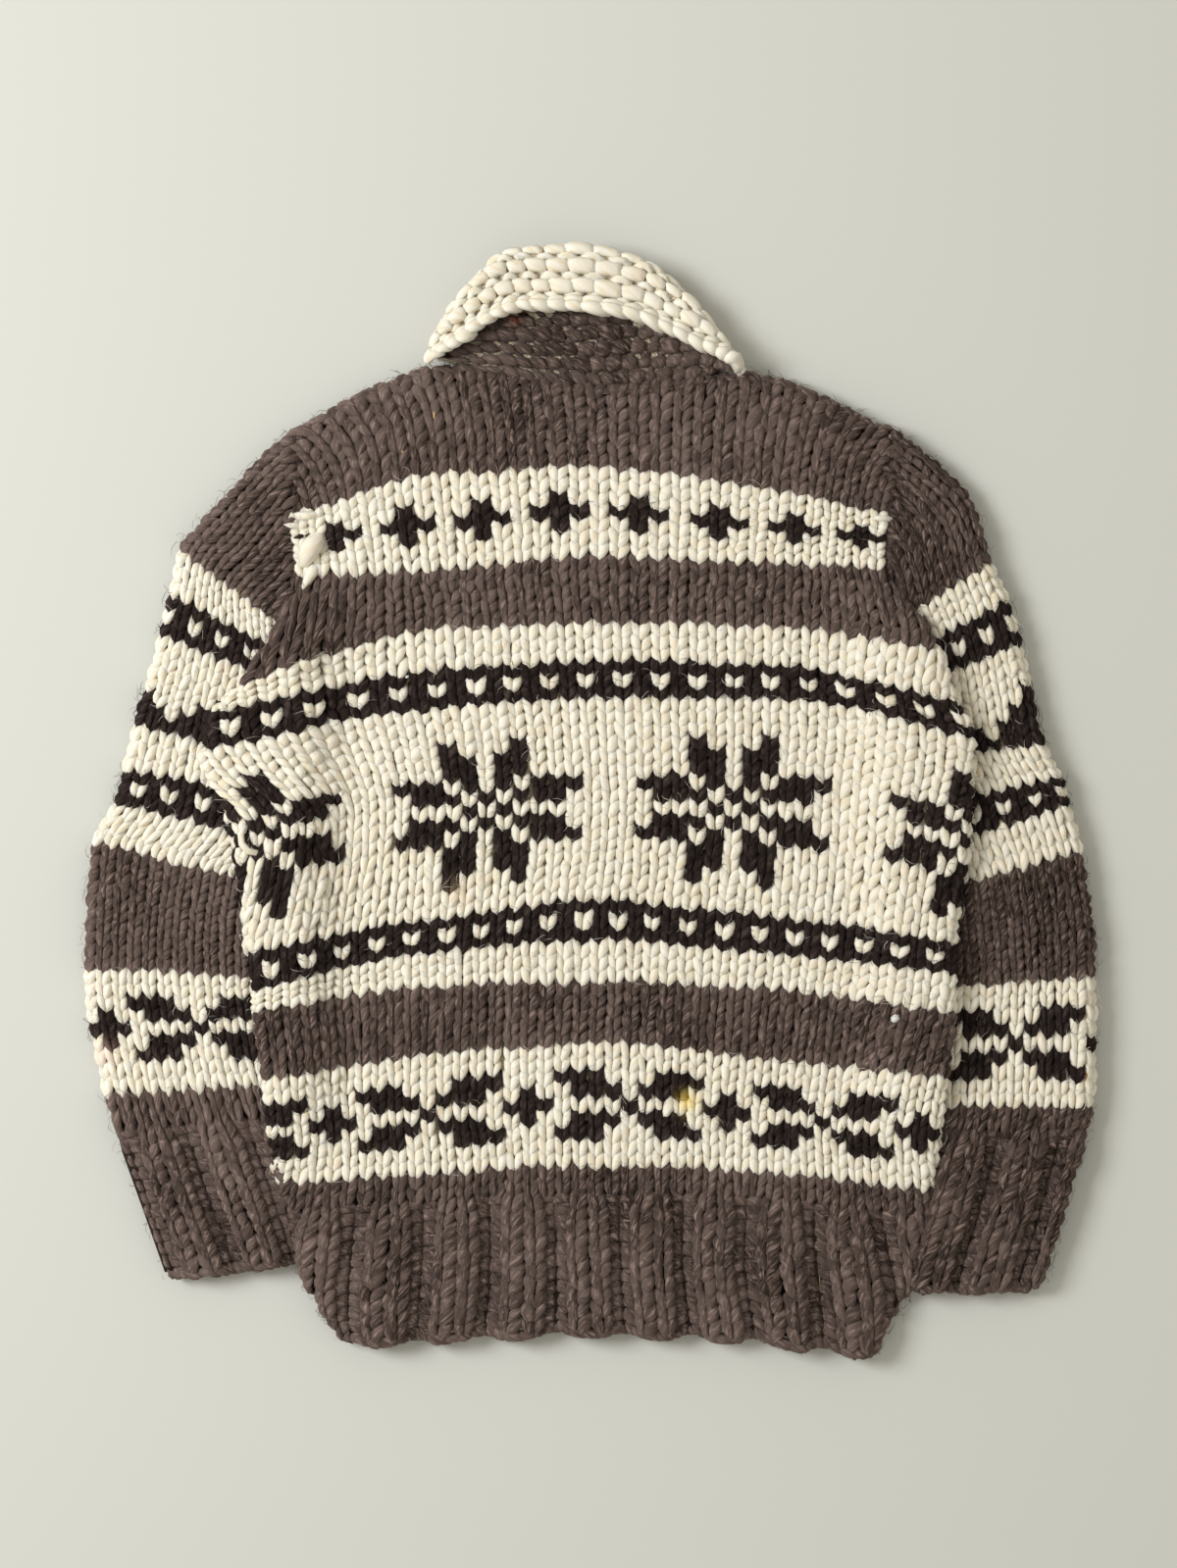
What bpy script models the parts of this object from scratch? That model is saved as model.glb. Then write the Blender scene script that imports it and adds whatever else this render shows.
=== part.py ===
"""Chunky hand-knit cowichan sweater, laid flat face down with its back on top.

Each knitted piece is its own closed wall of super-bulky cloth: the back lies on the two fronts, both rise at
the sides over the tucked-in inner edges of the sleeves, and the folded collar stands out beyond the neck.
Frame: origin at the bottom centre of the whole garment, +Y from hem to collar, +X to the wearer's right
as seen from behind, +Z up from the surface that it lies on.
"""

import math

import bmesh
import bpy
import numpy as np

MM = 0.001

# Cloth
WALL = 7.5 * MM  # thickness of one knitted layer
LAYER_GAP = 1.2 * MM  # air between two layers that lie on each other
SEAM_GAP = 0.3 * MM  # between pieces that are sewn edge to edge
FOLD_RADIUS = WALL + LAYER_GAP / 2  # outer radius where two layers meet at a folded edge
DOUBLE = 2 * FOLD_RADIUS  # height of two layers

# Back and fronts: one line across the body for each change of yarn, rows counted down from the shoulder.
# x of the two side edges, and y at the left edge, a quarter, the middle, three quarters and the right edge.
BODY_COLUMNS = ("row", "left_x", "right_x", "left_y", "quarter_y", "middle_y", "three_quarter_y", "right_y")
BODY_LINES_MM = (
    # row  left_x right_x left  1/4   mid   3/4  right
    (0, -194, 194, 239, 281, 271, 276, 241),  # shoulders and neckline
    (7, -194, 194, 187, 213, 217, 206, 187),  # small star band, top
    (14, -194, 194, 145, 150, 158, 155, 150),  # small star band, bottom
    (19, -229, 226, 73, 109, 115, 113, 98),  # upper cream band
    (22, -245, 238, 56, 81, 90, 88, 62),  # upper heart band
    (25, -254, 248, 31, 56, 66, 66, 40),  # large star field, top
    (33, -233, 245, -23, -5, -1, -2, -23),
    (41, -223, 236, -99, -79, -66, -77, -92),  # lower heart band, top
    (44, -219, 236, -124, -100, -92, -101, -112),
    (47, -219, 236, -138, -122, -119, -124, -138),  # brown band
    (52, -213, 231, -182, -166, -159, -170, -180),  # hem band, top
    (61, -205, 223, -251, -244, -239, -243, -255),  # hem band, bottom
    (68, -188, 210, -313, -303, -301, -304, -316),  # in the rib
    (73, -162, 186, -353, -347, -345, -349, -360),  # cast-on edge
)
BODY_STATIONS = (-1.0, -0.5, 0.0, 0.5, 1.0)  # where the five y columns lie across the body
BODY_GRID_ROWS = (0, 5, 10, 14, 15.25, 16.5, 17.75, 19, 22, 25, 29, 33, 37, 41, 44, 47, 52, 56, 61, 64.5, 68, 73)
PANEL_STEPS = 24  # cells across the whole body, besides those of its rounded edges
EVEN_STATIONS = [2 * k / PANEL_STEPS - 1 for k in range(1, PANEL_STEPS)]
ROW_HEIGHT = 8 * MM  # of one row of knitting, where a shoulder is rounded
ROW_STEP = 0.05  # rows, and station below, over which directions are measured
STATION_STEP = 0.01
SIDE_REACH = 40 * MM  # no point further than this from a side edge leans towards it
EDGE_ANGLES = (0.0, 30.0, 60.0, 90.0)  # degrees round a folded edge, from its rim to the flat

# Where the body folds over the sleeves' inner edges
ARMHOLE_ROW = 14  # above it the sleeves are sewn on edge to edge
FOLD_FULL_ROW = 16.5  # from here down the side is a fully rounded fold
LIFT = DOUBLE + 0.8 * MM  # how far the body's sides lie above the surface
LIFT_ON_ROWS = (14, 19)
LIFT_OFF_ROWS = (52, 62)
LIFT_RUN = 42 * MM  # how far in from the tucked sleeve the body comes down to the surface
TUCK_LEFT_X = -197 * MM  # inner edges of the sleeves under the body
TUCK_RIGHT_X = 203 * MM

# Neck
NECK_END = 5 / 12  # where the neckline ends each side, as a station across the body
FRONT_NECK_DROP = 34 * MM  # how much lower the front neckline is
FRONT_NECK_ROWS = 14  # rows over which the fronts take that up
OPENING = 0.0025  # half the gap between the two fronts, which lie edge to edge, as a station across the body

# Sleeves: one line across for each ring, from the armhole to the cuff
SLEEVE_LEFT_MM = (
    # inner_x, inner_y, outer_x, outer_y
    (-226, 58, -287, 82),
    (-200, 36, -297, 49),
    (-198, -2, -309, 2),
    (-198, -55, -323, -27),
    (-199, -95, -329, -75),
    (-200, -128, -329, -118),
    (-214.8, -181, -323, -160),
    (-212.2, -213, -316, -197),
    (-207.8, -246, -308, -232),
    (-203, -274, -294, -271),
    (-193, -298, -280, -311),
)
SLEEVE_RIGHT_MM = (
    # inner_x, inner_y, outer_x, outer_y
    (222, 78, 283, 84),
    (205, 52, 294, 42),
    (203, 5, 308, 8),
    (203, -55, 320, -35),
    (203, -95, 327, -78),
    (205, -128, 329, -119),
    (233.5, -181, 328, -170),
    (230, -212, 322, -212),
    (226.5, -246, 313, -246),
    (221.5, -280, 307, -281),
    (212.5, -318, 294, -319),
)
CAP_LEFT_MM = ((-194.3, 239), (-226, 211), (-251, 182), (-268, 160), (-279, 118))  # outer edge of the cap
CAP_RIGHT_MM = ((194.3, 241), (229, 214), (250, 190), (263, 155), (274, 118))
CAP_ROWS = (14, 15.25, 16.5, 17.75, 19)  # body rows beside which the cap's inner edge runs
SLEEVE_CLEARANCE = 1.5 * MM  # between the body's fold and the sleeve beside it
NOSE_ANGLES = (90.0, 45.0, 0.0, -45.0, -90.0)
SLEEVE_FLAT_STEPS = 5

# Collar: stand and turned-over part, from the left end of the neckline to the right
COLLAR_COLUMNS = ("along", "fold_x", "fold_y", "edge_x", "edge_y")
COLLAR_LINES_MM = (
    (0.00, -108, 289, -98, 287),
    (0.12, -98, 311, -84, 296),
    (0.25, -80, 336, -64, 310),
    (0.38, -54, 357, -42, 318),
    (0.55, -10, 361, -4, 317),
    (0.68, 32, 352, 30, 311),
    (0.80, 59, 333, 56, 299),
    (0.90, 80, 309, 76, 290),
    (1.00, 96, 288, 90, 284),
)
STAND_RISE = 3.8 * MM  # how far the stand climbs over the front half of the collar
TURN_GAP = 0.6 * MM  # between the stand and the part turned over it
LEAST_TURNED_SHARE = 0.15  # the turned-over edge stays this far out from the seam
TURNED_NOSE = 2.5 * MM  # length over which the turned-over edge is rounded
TURNED_REACH = 1.5 * MM  # least length of the turned-over part
TURN_ANGLES = (-60, -25, 0, 25, 60, 90)  # degrees round the collar's fold
FRONT_COLLAR_INSET = 3 * MM  # the hidden front half stays this far inside the fold
FRONT_COLLAR_ROUNDING = ((0, 0), (0.35, 0), (0.7, 0), (0.9, 0), (0.97, 1.2 * MM), (1, 4 * MM))  # share out, drop
FRONT_COLLAR_UNDERCUT = 2.5 * MM  # most that its underside rises at the fold
NECK_ROLL_SHARE = 0.16  # share of the collar's length, at each end, where back and front halves join
NECK_ROLL_RISE = 5 * MM
NECK_ROLL_RUN = 10 * MM
NECK_ROLL_START = 2 * MM  # how far beyond the neckline the roll begins
COLLAR_SEAM_GAP = 1.3 * MM  # between the collar's ends and the slanting shoulders beside them

YARN_COLOURS = {"brown": (0.115, 0.08, 0.065), "cream": (0.86, 0.79, 0.65)}
YARN_ROUGHNESS = 0.95


def smooth_through(at, knots, values):
    """Monotone cubic through the points (knots, values), read at every `at`."""
    knots, values, at = (np.asarray(a, float) for a in (knots, values, at))
    step = np.diff(knots)
    slope = np.diff(values) / step
    before, after = 2 * step[1:] + step[:-1], step[1:] + 2 * step[:-1]
    turning = slope[:-1] * slope[1:] <= 0
    safe_a, safe_b = np.where(turning, 1, slope[:-1]), np.where(turning, 1, slope[1:])
    tangent = np.concatenate([[slope[0]], (before + after) / (before / safe_a + after / safe_b), [slope[-1]]])
    tangent[1:-1][turning] = 0
    cell = np.clip(np.searchsorted(knots, at, side="right") - 1, 0, len(step) - 1)
    t = (at - knots[cell]) / step[cell]
    rise = step[cell] * (t * (1 - t) ** 2 * tangent[cell] - t * t * (1 - t) * tangent[cell + 1])
    return values[cell] * (1 + 2 * t) * (1 - t) ** 2 + values[cell + 1] * t * t * (3 - 2 * t) + rise


def ease(t):
    """0 below 0, 1 above 1, and a smooth S between."""
    t = np.clip(t, 0, 1)
    return t * t * (3 - 2 * t)


def column(table, columns, name):
    return np.array([line[columns.index(name)] for line in table], float)


def body_edge(row):
    """(left point, right point) of the body's outline at a row, in metres."""
    rows = column(BODY_LINES_MM, BODY_COLUMNS, "row")
    names = (("left_x", "left_y"), ("right_x", "right_y"))
    return [
        np.array([float(smooth_through(row, rows, column(BODY_LINES_MM, BODY_COLUMNS, n))) * MM for n in pair])
        for pair in names
    ]


def body_plan(row, across):
    """x and y, in metres, of the points at stations `across` (-1 to 1) on one row."""
    rows = column(BODY_LINES_MM, BODY_COLUMNS, "row")
    left, right = body_edge(row)
    heights = [
        float(smooth_through(row, rows, column(BODY_LINES_MM, BODY_COLUMNS, name))) * MM
        for name in ("left_y", "quarter_y", "middle_y", "three_quarter_y", "right_y")
    ]
    x = left[0] + (right[0] - left[0]) * (across + 1) / 2
    return x, smooth_through(across, BODY_STATIONS, heights)


def side_lift(x, row):
    """Height of the body's underside where it lies over the tucked sleeves."""
    on = ease((row - LIFT_ON_ROWS[0]) / (LIFT_ON_ROWS[1] - LIFT_ON_ROWS[0]))
    off = ease((row - LIFT_OFF_ROWS[0]) / (LIFT_OFF_ROWS[1] - LIFT_OFF_ROWS[0]))
    left = 1 - ease((x - TUCK_LEFT_X) / LIFT_RUN)
    right = 1 - ease((TUCK_RIGHT_X - x) / LIFT_RUN)
    return LIFT * on * (1 - off) * np.maximum(left, right)


def neck_share(across):
    """1 in the middle of the neckline, falling to 0 at its ends and along the shoulders."""
    return np.clip(1 - (across / NECK_END) ** 2, 0, 1)


def edge_normals(row):
    """Outward directions in plan, square to the body's left and right outlines, at a row."""
    normals = []
    for side, above, below in zip((-1, 1), body_edge(row - ROW_STEP), body_edge(row + ROW_STEP)):
        run = below - above
        normals.append(side * np.array([-run[1], run[0]]) / np.linalg.norm(run))
    return normals


def across_stations(row, low, high):
    """Stations from low to high: the whole body's even steps, with a rounded edge's own steps at an outer side."""
    rims = []
    for end, normal in zip((-1, 1), edge_normals(row)):
        x, y = body_plan(row, np.array([end, end * (1 - STATION_STEP)]))
        inward = -float((x[1] - x[0]) * normal[0] + (y[1] - y[0]) * normal[1]) / STATION_STEP
        rims.append([FOLD_RADIUS * (1 - math.cos(math.radians(a))) / inward for a in EDGE_ANGLES])
    inside = [a for a in EVEN_STATIONS if low < a < high]
    start = [low + r for r in rims[0]] if low == -1 else [low]
    end = [high - r for r in reversed(rims[1])] if high == 1 else [high]
    return np.array(start + inside + end)


def panel_points(low, high, is_back):
    """Outer and inner surfaces of a body panel, as grids of points by row and station.

    The outer surface is flat, and turns down round a quarter circle at a side fold or a shoulder.
    The inner surface is the same moved in by the wall, along the outer surface's own direction.
    """
    shoulder_rows = [FOLD_RADIUS * (1 - math.cos(math.radians(a))) / ROW_HEIGHT for a in EDGE_ANGLES]
    rows = shoulder_rows + [r for r in BODY_GRID_ROWS if r > 0]
    outer, inner = [], []
    for row in rows:
        across = across_stations(row, low, high)
        x, y = body_plan(row, across)
        if not is_back:
            y = y - FRONT_NECK_DROP * neck_share(across) * (1 - ease(row / FRONT_NECK_ROWS))
        curl = ease((row - ARMHOLE_ROW) / (FOLD_FULL_ROW - ARMHOLE_ROW))
        lean_x, lean_y = np.zeros(len(x)), np.zeros(len(x))
        for point, normal in zip(body_edge(row), edge_normals(row)):
            inward = (point[0] - x) * normal[0] + (point[1] - y) * normal[1]
            side = curl * np.clip(1 - inward / FOLD_RADIUS, 0, 1)
            near = np.abs(x - point[0]) < SIDE_REACH
            lean_x += np.where(near, side * normal[0], 0)
            lean_y += np.where(near, side * normal[1], 0)
        is_shoulder = np.abs(across) > NECK_END + 0.01
        depth = row * ROW_HEIGHT
        lean_y += np.where(is_shoulder, np.clip(1 - depth / FOLD_RADIUS, 0, 1), 0)
        over = np.maximum(1, np.hypot(lean_x, lean_y))
        lean_x, lean_y = lean_x / over, lean_y / over
        up = np.sqrt(np.clip(1 - lean_x**2 - lean_y**2, 0, 1))
        rim = SEAM_GAP / 2
        z_out = FOLD_RADIUS + np.maximum(FOLD_RADIUS * up, rim)
        z_in = FOLD_RADIUS + np.maximum((FOLD_RADIUS - WALL) * up, rim)
        if not is_back:
            z_out, z_in = DOUBLE - z_out, DOUBLE - z_in
        x_in = x - WALL * lean_x
        outer.append(np.stack([x, y, z_out + side_lift(x, row)], axis=1))
        inner.append(np.stack([x_in, y - WALL * lean_y, z_in + side_lift(x_in, row)], axis=1))
    return np.array(outer), np.array(inner)


def material(name):
    yarn = bpy.data.materials.get(name) or bpy.data.materials.new(name)
    yarn.use_nodes = True
    shader = yarn.node_tree.nodes["Principled BSDF"]
    shader.inputs["Base Color"].default_value = (*YARN_COLOURS[name.split("_")[-1]], 1)
    shader.inputs["Roughness"].default_value = YARN_ROUGHNESS
    shader.inputs["Metallic"].default_value = 0
    return yarn


def add_object(name, points, faces, yarn):
    """A mesh object of these points and faces, with its faces turned outwards."""
    mesh = bpy.data.meshes.new(name)
    shape = bmesh.new()
    corners = [shape.verts.new(p) for p in points]
    for face in faces:
        shape.faces.new([corners[i] for i in face])
    bmesh.ops.recalc_face_normals(shape, faces=shape.faces)
    shape.to_mesh(mesh)
    shape.free()
    mesh.shade_smooth()
    mesh.set_sharp_from_angle(angle=math.radians(40))
    mesh.materials.append(yarn)
    piece = bpy.data.objects.new(name, mesh)
    bpy.context.scene.collection.objects.link(piece)
    return piece


def grid_faces(rows, cols, start, wrap=False):
    """Triangles of a grid of points numbered row by row from start; wrap joins the last column to the first.

    Every cell is cut along the same diagonal, so two layers of one form stay evenly apart.
    """
    faces = []
    for r in range(rows - 1):
        for c in range(cols if wrap else cols - 1):
            here, beside = start + r * cols + c, start + r * cols + (c + 1) % cols
            faces.append((here, beside, beside + cols))
            faces.append((here, beside + cols, here + cols))
    return faces


def rim_faces(here, there, count):
    """Triangles joining one edge of an outer grid to the same edge of its inner grid, count points later."""
    return [(here, there, there + count), (here, there + count, here + count)]


def add_wall(name, outer, inner, yarn):
    """A closed wall between two grids of the same size, joined round their rims."""
    rows, cols = outer.shape[:2]
    count = rows * cols
    faces = grid_faces(rows, cols, 0) + grid_faces(rows, cols, count)
    rim = [r * cols for r in range(rows)] + [(rows - 1) * cols + c for c in range(1, cols)]
    rim += [r * cols + cols - 1 for r in range(rows - 2, -1, -1)] + list(range(cols - 2, 0, -1))
    for here, there in zip(rim, rim[1:] + rim[:1]):
        faces += rim_faces(here, there, count)
    points = np.concatenate([outer.reshape(-1, 3), inner.reshape(-1, 3)])
    return add_object(name, points, faces, yarn)


def add_body():
    add_wall("back", *panel_points(-1, 1, True), material("back_brown"))
    add_wall("front_left", *panel_points(-1, -OPENING, False), material("front_left_brown"))
    add_wall("front_right", *panel_points(OPENING, 1, False), material("front_right_brown"))


def sleeve_rings(cap, table, side):
    """(inner point, outer point) of each ring from the armhole to the cuff, in metres."""
    rings = []
    for row, outer in zip(CAP_ROWS, cap):
        edge = body_edge(row)[0 if side < 0 else 1]
        clear = SEAM_GAP if row == ARMHOLE_ROW else SLEEVE_CLEARANCE
        rings.append((edge + np.array([side * clear, 0]), np.array(outer) * MM))
    for inner_x, inner_y, outer_x, outer_y in table:
        rings.append((np.array([inner_x, inner_y]) * MM, np.array([outer_x, outer_y]) * MM))
    return rings


def sleeve_ring(inner, outer):
    """Outer and inner loops of one ring: a flattened tube whose two folds are half circles."""
    along = (outer - inner) / np.linalg.norm(outer - inner)
    start, end = inner + along * FOLD_RADIUS, outer - along * FOLD_RADIUS
    loop = []
    for angle in NOSE_ANGLES:
        turn = math.radians(angle)
        loop.append((end, math.cos(turn), math.sin(turn)))
    for t in np.linspace(0, 1, SLEEVE_FLAT_STEPS + 1)[1:-1]:
        loop.append((end + (start - end) * t, 0, -1))
    for angle in reversed(NOSE_ANGLES):
        turn = math.radians(angle)
        loop.append((start, -math.cos(turn), math.sin(turn)))
    for t in np.linspace(0, 1, SLEEVE_FLAT_STEPS + 1)[1:-1]:
        loop.append((start + (end - start) * t, 0, 1))
    loops = []
    for radius in (FOLD_RADIUS, FOLD_RADIUS - WALL):
        loops.append([(*(p + along * c * radius), FOLD_RADIUS + s * radius) for p, c, s in loop])
    return loops


def add_sleeve(name, cap, table, side):
    """A flattened tube through the rings, open at the armhole and at the cuff."""
    rings = [sleeve_ring(*ring) for ring in sleeve_rings(cap, table, side)]
    outer = np.array([ring[0] for ring in rings])
    inner = np.array([ring[1] for ring in rings])
    rows, cols = outer.shape[:2]
    count = rows * cols
    faces = grid_faces(rows, cols, 0, wrap=True) + grid_faces(rows, cols, count, wrap=True)
    for first in (0, (rows - 1) * cols):
        for c in range(cols):
            faces += rim_faces(first + c, first + (c + 1) % cols, count)
    points = np.concatenate([outer.reshape(-1, 3), inner.reshape(-1, 3)])
    add_object(name, points, faces, material(name + "_brown"))


def collar_line(along, name):
    knots = column(COLLAR_LINES_MM, COLLAR_COLUMNS, "along")
    return smooth_through(along, knots, column(COLLAR_LINES_MM, COLLAR_COLUMNS, name)) * MM


def collar_share(across):
    """How far along the collar a station of the neckline is: 0 at its left end, 1 at its right."""
    return (across + NECK_END) / (2 * NECK_END)


def collar_stations(low, high):
    return [low] + [a for a in EVEN_STATIONS if low + 0.01 < a < high - 0.01] + [high]


def back_collar_section(across):
    """One hairpin section: the stand out to the fold and back, as a closed loop of points."""
    x, y = body_plan(0, np.array([across]))
    along = collar_share(across)
    seam = np.array([x[0], y[0] + COLLAR_SEAM_GAP])
    fold = np.array([collar_line(along, "fold_x"), collar_line(along, "fold_y")])
    edge = np.array([collar_line(along, "edge_x"), collar_line(along, "edge_y")])
    out = (fold - seam) / np.linalg.norm(fold - seam)
    length = np.linalg.norm(fold - seam)
    turned = max(float((edge - seam) @ out), LEAST_TURNED_SHARE * length)
    base = FOLD_RADIUS + LAYER_GAP / 2
    radius = WALL + TURN_GAP / 2
    centre_u = length - radius
    centre_z = base + STAND_RISE + radius

    def slope(u):
        return base + STAND_RISE * min(u / centre_u, 1)

    turned = min(turned, centre_u - TURNED_REACH)
    loop = [(0, slope(0)), (0.5 * centre_u, slope(0.5 * centre_u)), (centre_u, slope(centre_u))]
    for angle in TURN_ANGLES:
        turn = math.radians(angle)
        loop.append((centre_u + radius * math.cos(turn), centre_z + radius * math.sin(turn)))
    stand_top = slope(turned) + WALL
    loop += [
        (0.5 * (centre_u + turned), 0.5 * (centre_z + radius + stand_top + TURN_GAP + WALL)),
        (turned + TURNED_NOSE, stand_top + TURN_GAP + WALL),
        (turned, stand_top + TURN_GAP + 0.6 * WALL),
        (turned + 0.4 * TURNED_NOSE, stand_top + TURN_GAP),
        (centre_u, centre_z + TURN_GAP / 2),
        (centre_u, centre_z - TURN_GAP / 2),
        (0.5 * centre_u, slope(0.5 * centre_u) + WALL),
        (0, slope(0) + WALL),
    ]
    return [(*(seam + out * u), z) for u, z in loop]


def front_collar_half(low, high):
    """Top and bottom grids of one hidden front half: both its layers in one rounded solid."""
    top, bottom = [], []
    for across in collar_stations(low, high):
        along = collar_share(across)
        x, y = body_plan(0, np.array([across]))
        seam = np.array([x[0], y[0] - FRONT_NECK_DROP * neck_share(across) + COLLAR_SEAM_GAP])
        fold = np.array([collar_line(along, "fold_x"), collar_line(along, "fold_y")])
        length = np.linalg.norm(fold - seam)
        fold = seam + (fold - seam) * (1 - FRONT_COLLAR_INSET / length)
        end_share = min(along, 1 - along) / NECK_ROLL_SHARE
        end_roll = NECK_ROLL_RISE * (1 - float(ease(end_share)))
        top_line, bottom_line = [], []
        for v, round_off in FRONT_COLLAR_ROUNDING:
            place = seam + (fold - seam) * v
            roll = end_roll * float(ease((place[1] - y[0] - NECK_ROLL_START) / NECK_ROLL_RUN))
            top_line.append((*place, WALL + STAND_RISE * v * v + roll - round_off))
            bottom_line.append((*place, min(round_off, FRONT_COLLAR_UNDERCUT)))
        top.append(top_line)
        bottom.append(bottom_line)
    return np.array(top), np.array(bottom)


def add_collar():
    """The folded back half, joined at the neck's two sides to the hidden front halves."""
    yarn = material("collar_cream")
    sections = np.array([back_collar_section(a) for a in collar_stations(-NECK_END, NECK_END)])
    rows, cols = sections.shape[:2]
    faces = grid_faces(rows, cols, 0, wrap=True)
    faces += [tuple(range(cols)), tuple(range((rows - 1) * cols, rows * cols))]
    collar = add_object("collar", sections.reshape(-1, 3), faces, yarn)
    for name, low, high in (("left", -NECK_END, -OPENING), ("right", OPENING, NECK_END)):
        half = add_wall("collar_front_" + name, *front_collar_half(low, high), yarn)
        half.hide_render = True
        half.display_type = "WIRE"
        join = collar.modifiers.new("join_" + name, "BOOLEAN")
        join.operation = "UNION"
        join.object = half


def main():
    for old in list(bpy.data.objects):
        bpy.data.objects.remove(old)
    bpy.context.scene.unit_settings.scale_length = 1
    add_body()
    add_sleeve("sleeve_left", CAP_LEFT_MM, SLEEVE_LEFT_MM, -1)
    add_sleeve("sleeve_right", CAP_RIGHT_MM, SLEEVE_RIGHT_MM, 1)
    add_collar()


main()
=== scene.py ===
"""Looks of a chunky hand-knit cowichan sweater, laid flat face down with its back on top.

Every stitch is a strand of yarn of its own, laid on a lattice of wales (columns of stitches) and rows that
follows the garment's form. Under the stitches lies a thin shell of cloth on each piece's own solid.
"""

import math

import bpy
import numpy as np
from bpy.props import FloatProperty, FloatVectorProperty, IntProperty, PointerProperty
from bpy.types import Operator, Panel, PropertyGroup
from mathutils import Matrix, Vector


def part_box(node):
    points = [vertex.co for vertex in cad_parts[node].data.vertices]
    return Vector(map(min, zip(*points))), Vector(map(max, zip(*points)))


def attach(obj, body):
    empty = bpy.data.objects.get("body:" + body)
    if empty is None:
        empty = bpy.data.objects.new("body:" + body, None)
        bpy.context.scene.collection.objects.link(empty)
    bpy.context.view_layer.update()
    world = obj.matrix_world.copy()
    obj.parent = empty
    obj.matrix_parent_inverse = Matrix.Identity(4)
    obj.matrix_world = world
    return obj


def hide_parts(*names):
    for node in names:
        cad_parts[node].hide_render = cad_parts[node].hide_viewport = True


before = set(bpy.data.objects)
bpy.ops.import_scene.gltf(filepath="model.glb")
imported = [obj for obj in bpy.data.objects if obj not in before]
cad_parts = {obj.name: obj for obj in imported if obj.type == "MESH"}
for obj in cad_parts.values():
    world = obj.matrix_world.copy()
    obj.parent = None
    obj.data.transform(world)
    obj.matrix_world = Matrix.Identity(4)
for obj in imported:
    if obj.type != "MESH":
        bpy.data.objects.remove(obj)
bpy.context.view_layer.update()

bl_info = {
    "name": "Cowichan Sweater",
    "version": (1, 0, 0),
    "blender": (4, 5, 0),
    "location": "3D View > Sidebar > Sweater",
    "description": "Knits a chunky cowichan sweater, stitch by stitch, on its solid form",
    "category": "Object",
}

MM = 0.001

# Form, from the solids: two layers of cloth turn at a folded edge round one radius
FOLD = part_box("sleeve_left")[1][2] / 2
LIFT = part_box("back")[1][2] - 2 * FOLD  # how far the body's sides lie over the sleeves
ARMHOLE_X = 194.5 * MM

# Knitting
WALE_MM, ROW_MM = 12.0, 8.7  # one stitch of the body
LATTICE = 0.25  # wales or rows between two points of a lattice
YARNS = ("brown", "cream", "dark")
BROWN, CREAM, DARK = range(3)
QUARTER_EXTRA = math.pi / 2 - 1  # how much longer a quarter circle is than its radius

# Body: one line across for each change of yarn, rows counted down from the shoulder
BODY_COLUMNS = ("row", "left_x", "right_x", "left_y", "quarter_y", "middle_y", "three_quarter_y", "right_y")
BODY_LINES_MM = (
    (0, -194, 194, 239, 281, 271, 276, 241),
    (7, -194, 194, 187, 213, 217, 206, 187),
    (14, -194, 194, 145, 150, 158, 155, 150),
    (19, -229, 226, 73, 109, 115, 113, 98),
    (22, -245, 238, 56, 81, 90, 88, 62),
    (25, -254, 248, 31, 56, 66, 66, 40),
    (33, -233, 245, -23, -5, -1, -2, -23),
    (41, -223, 236, -99, -79, -66, -77, -92),
    (44, -219, 236, -124, -100, -92, -101, -112),
    (47, -219, 236, -138, -122, -119, -124, -138),
    (52, -213, 231, -182, -166, -159, -170, -180),
    (61, -205, 223, -251, -244, -239, -243, -255),
    (68, -188, 210, -313, -303, -301, -304, -316),
    (73, -162, 186, -353, -347, -345, -349, -360),
)
BODY_STATIONS = (-1.0, -0.5, 0.0, 0.5, 1.0)
# Wales at the two side edges, and x of three wales between them
WALE_COLUMNS = ("row", "left_wale", "right_wale", "tenth_left_x", "middle_x", "tenth_right_x")
WALE_LINES_MM = (
    (0, -13.6, 13.4, -141, 3, 147),
    (4, -15.4, 15.0, -128, 4, 138),
    (8, -16.2, 15.6, -123, 5, 134),
    (14, -16.6, 15.7, -117, 5, 132),
    (23.5, -20.2, 19.3, -113, 9, 130),
    (28, -21.2, 19.5, -106, 10, 129),
    (33, -22.5, 20.0, -101, 12, 128),
    (42.5, -20.2, 20.2, -106, 6, 121),
    (56.5, -20.1, 21.4, -107, 3, 110),
    (61, -19.4, 20.8, -104, 3, 109),
    (68, -17.0, 18.5, -105, 4, 106),
    (73, -14.9, 16.4, -108, 5, 112),
)
ARMHOLE_ROW, FOLD_FULL_ROW = 14, 16.5
LIFT_ON_ROWS, LIFT_OFF_ROWS, LIFT_RUN = (14, 19), (52, 62), 42 * MM
TUCK_LEFT_X, TUCK_RIGHT_X = -197 * MM, 203 * MM
NECK_END = 5 / 12  # where the neckline ends, as a share of half the body's width
FRONT_NECK_DROP, FRONT_NECK_ROWS = 34 * MM, 14
SHOULDER_ROW_MM = 8.0
HEM_ROW, BODY_RIB_ROW = 73, 63
SCALLOP = 2.0 * MM  # of the cast-on edges
CENTRE_GAP = 1.2 * MM  # of the two fronts, at each side of the middle

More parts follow.
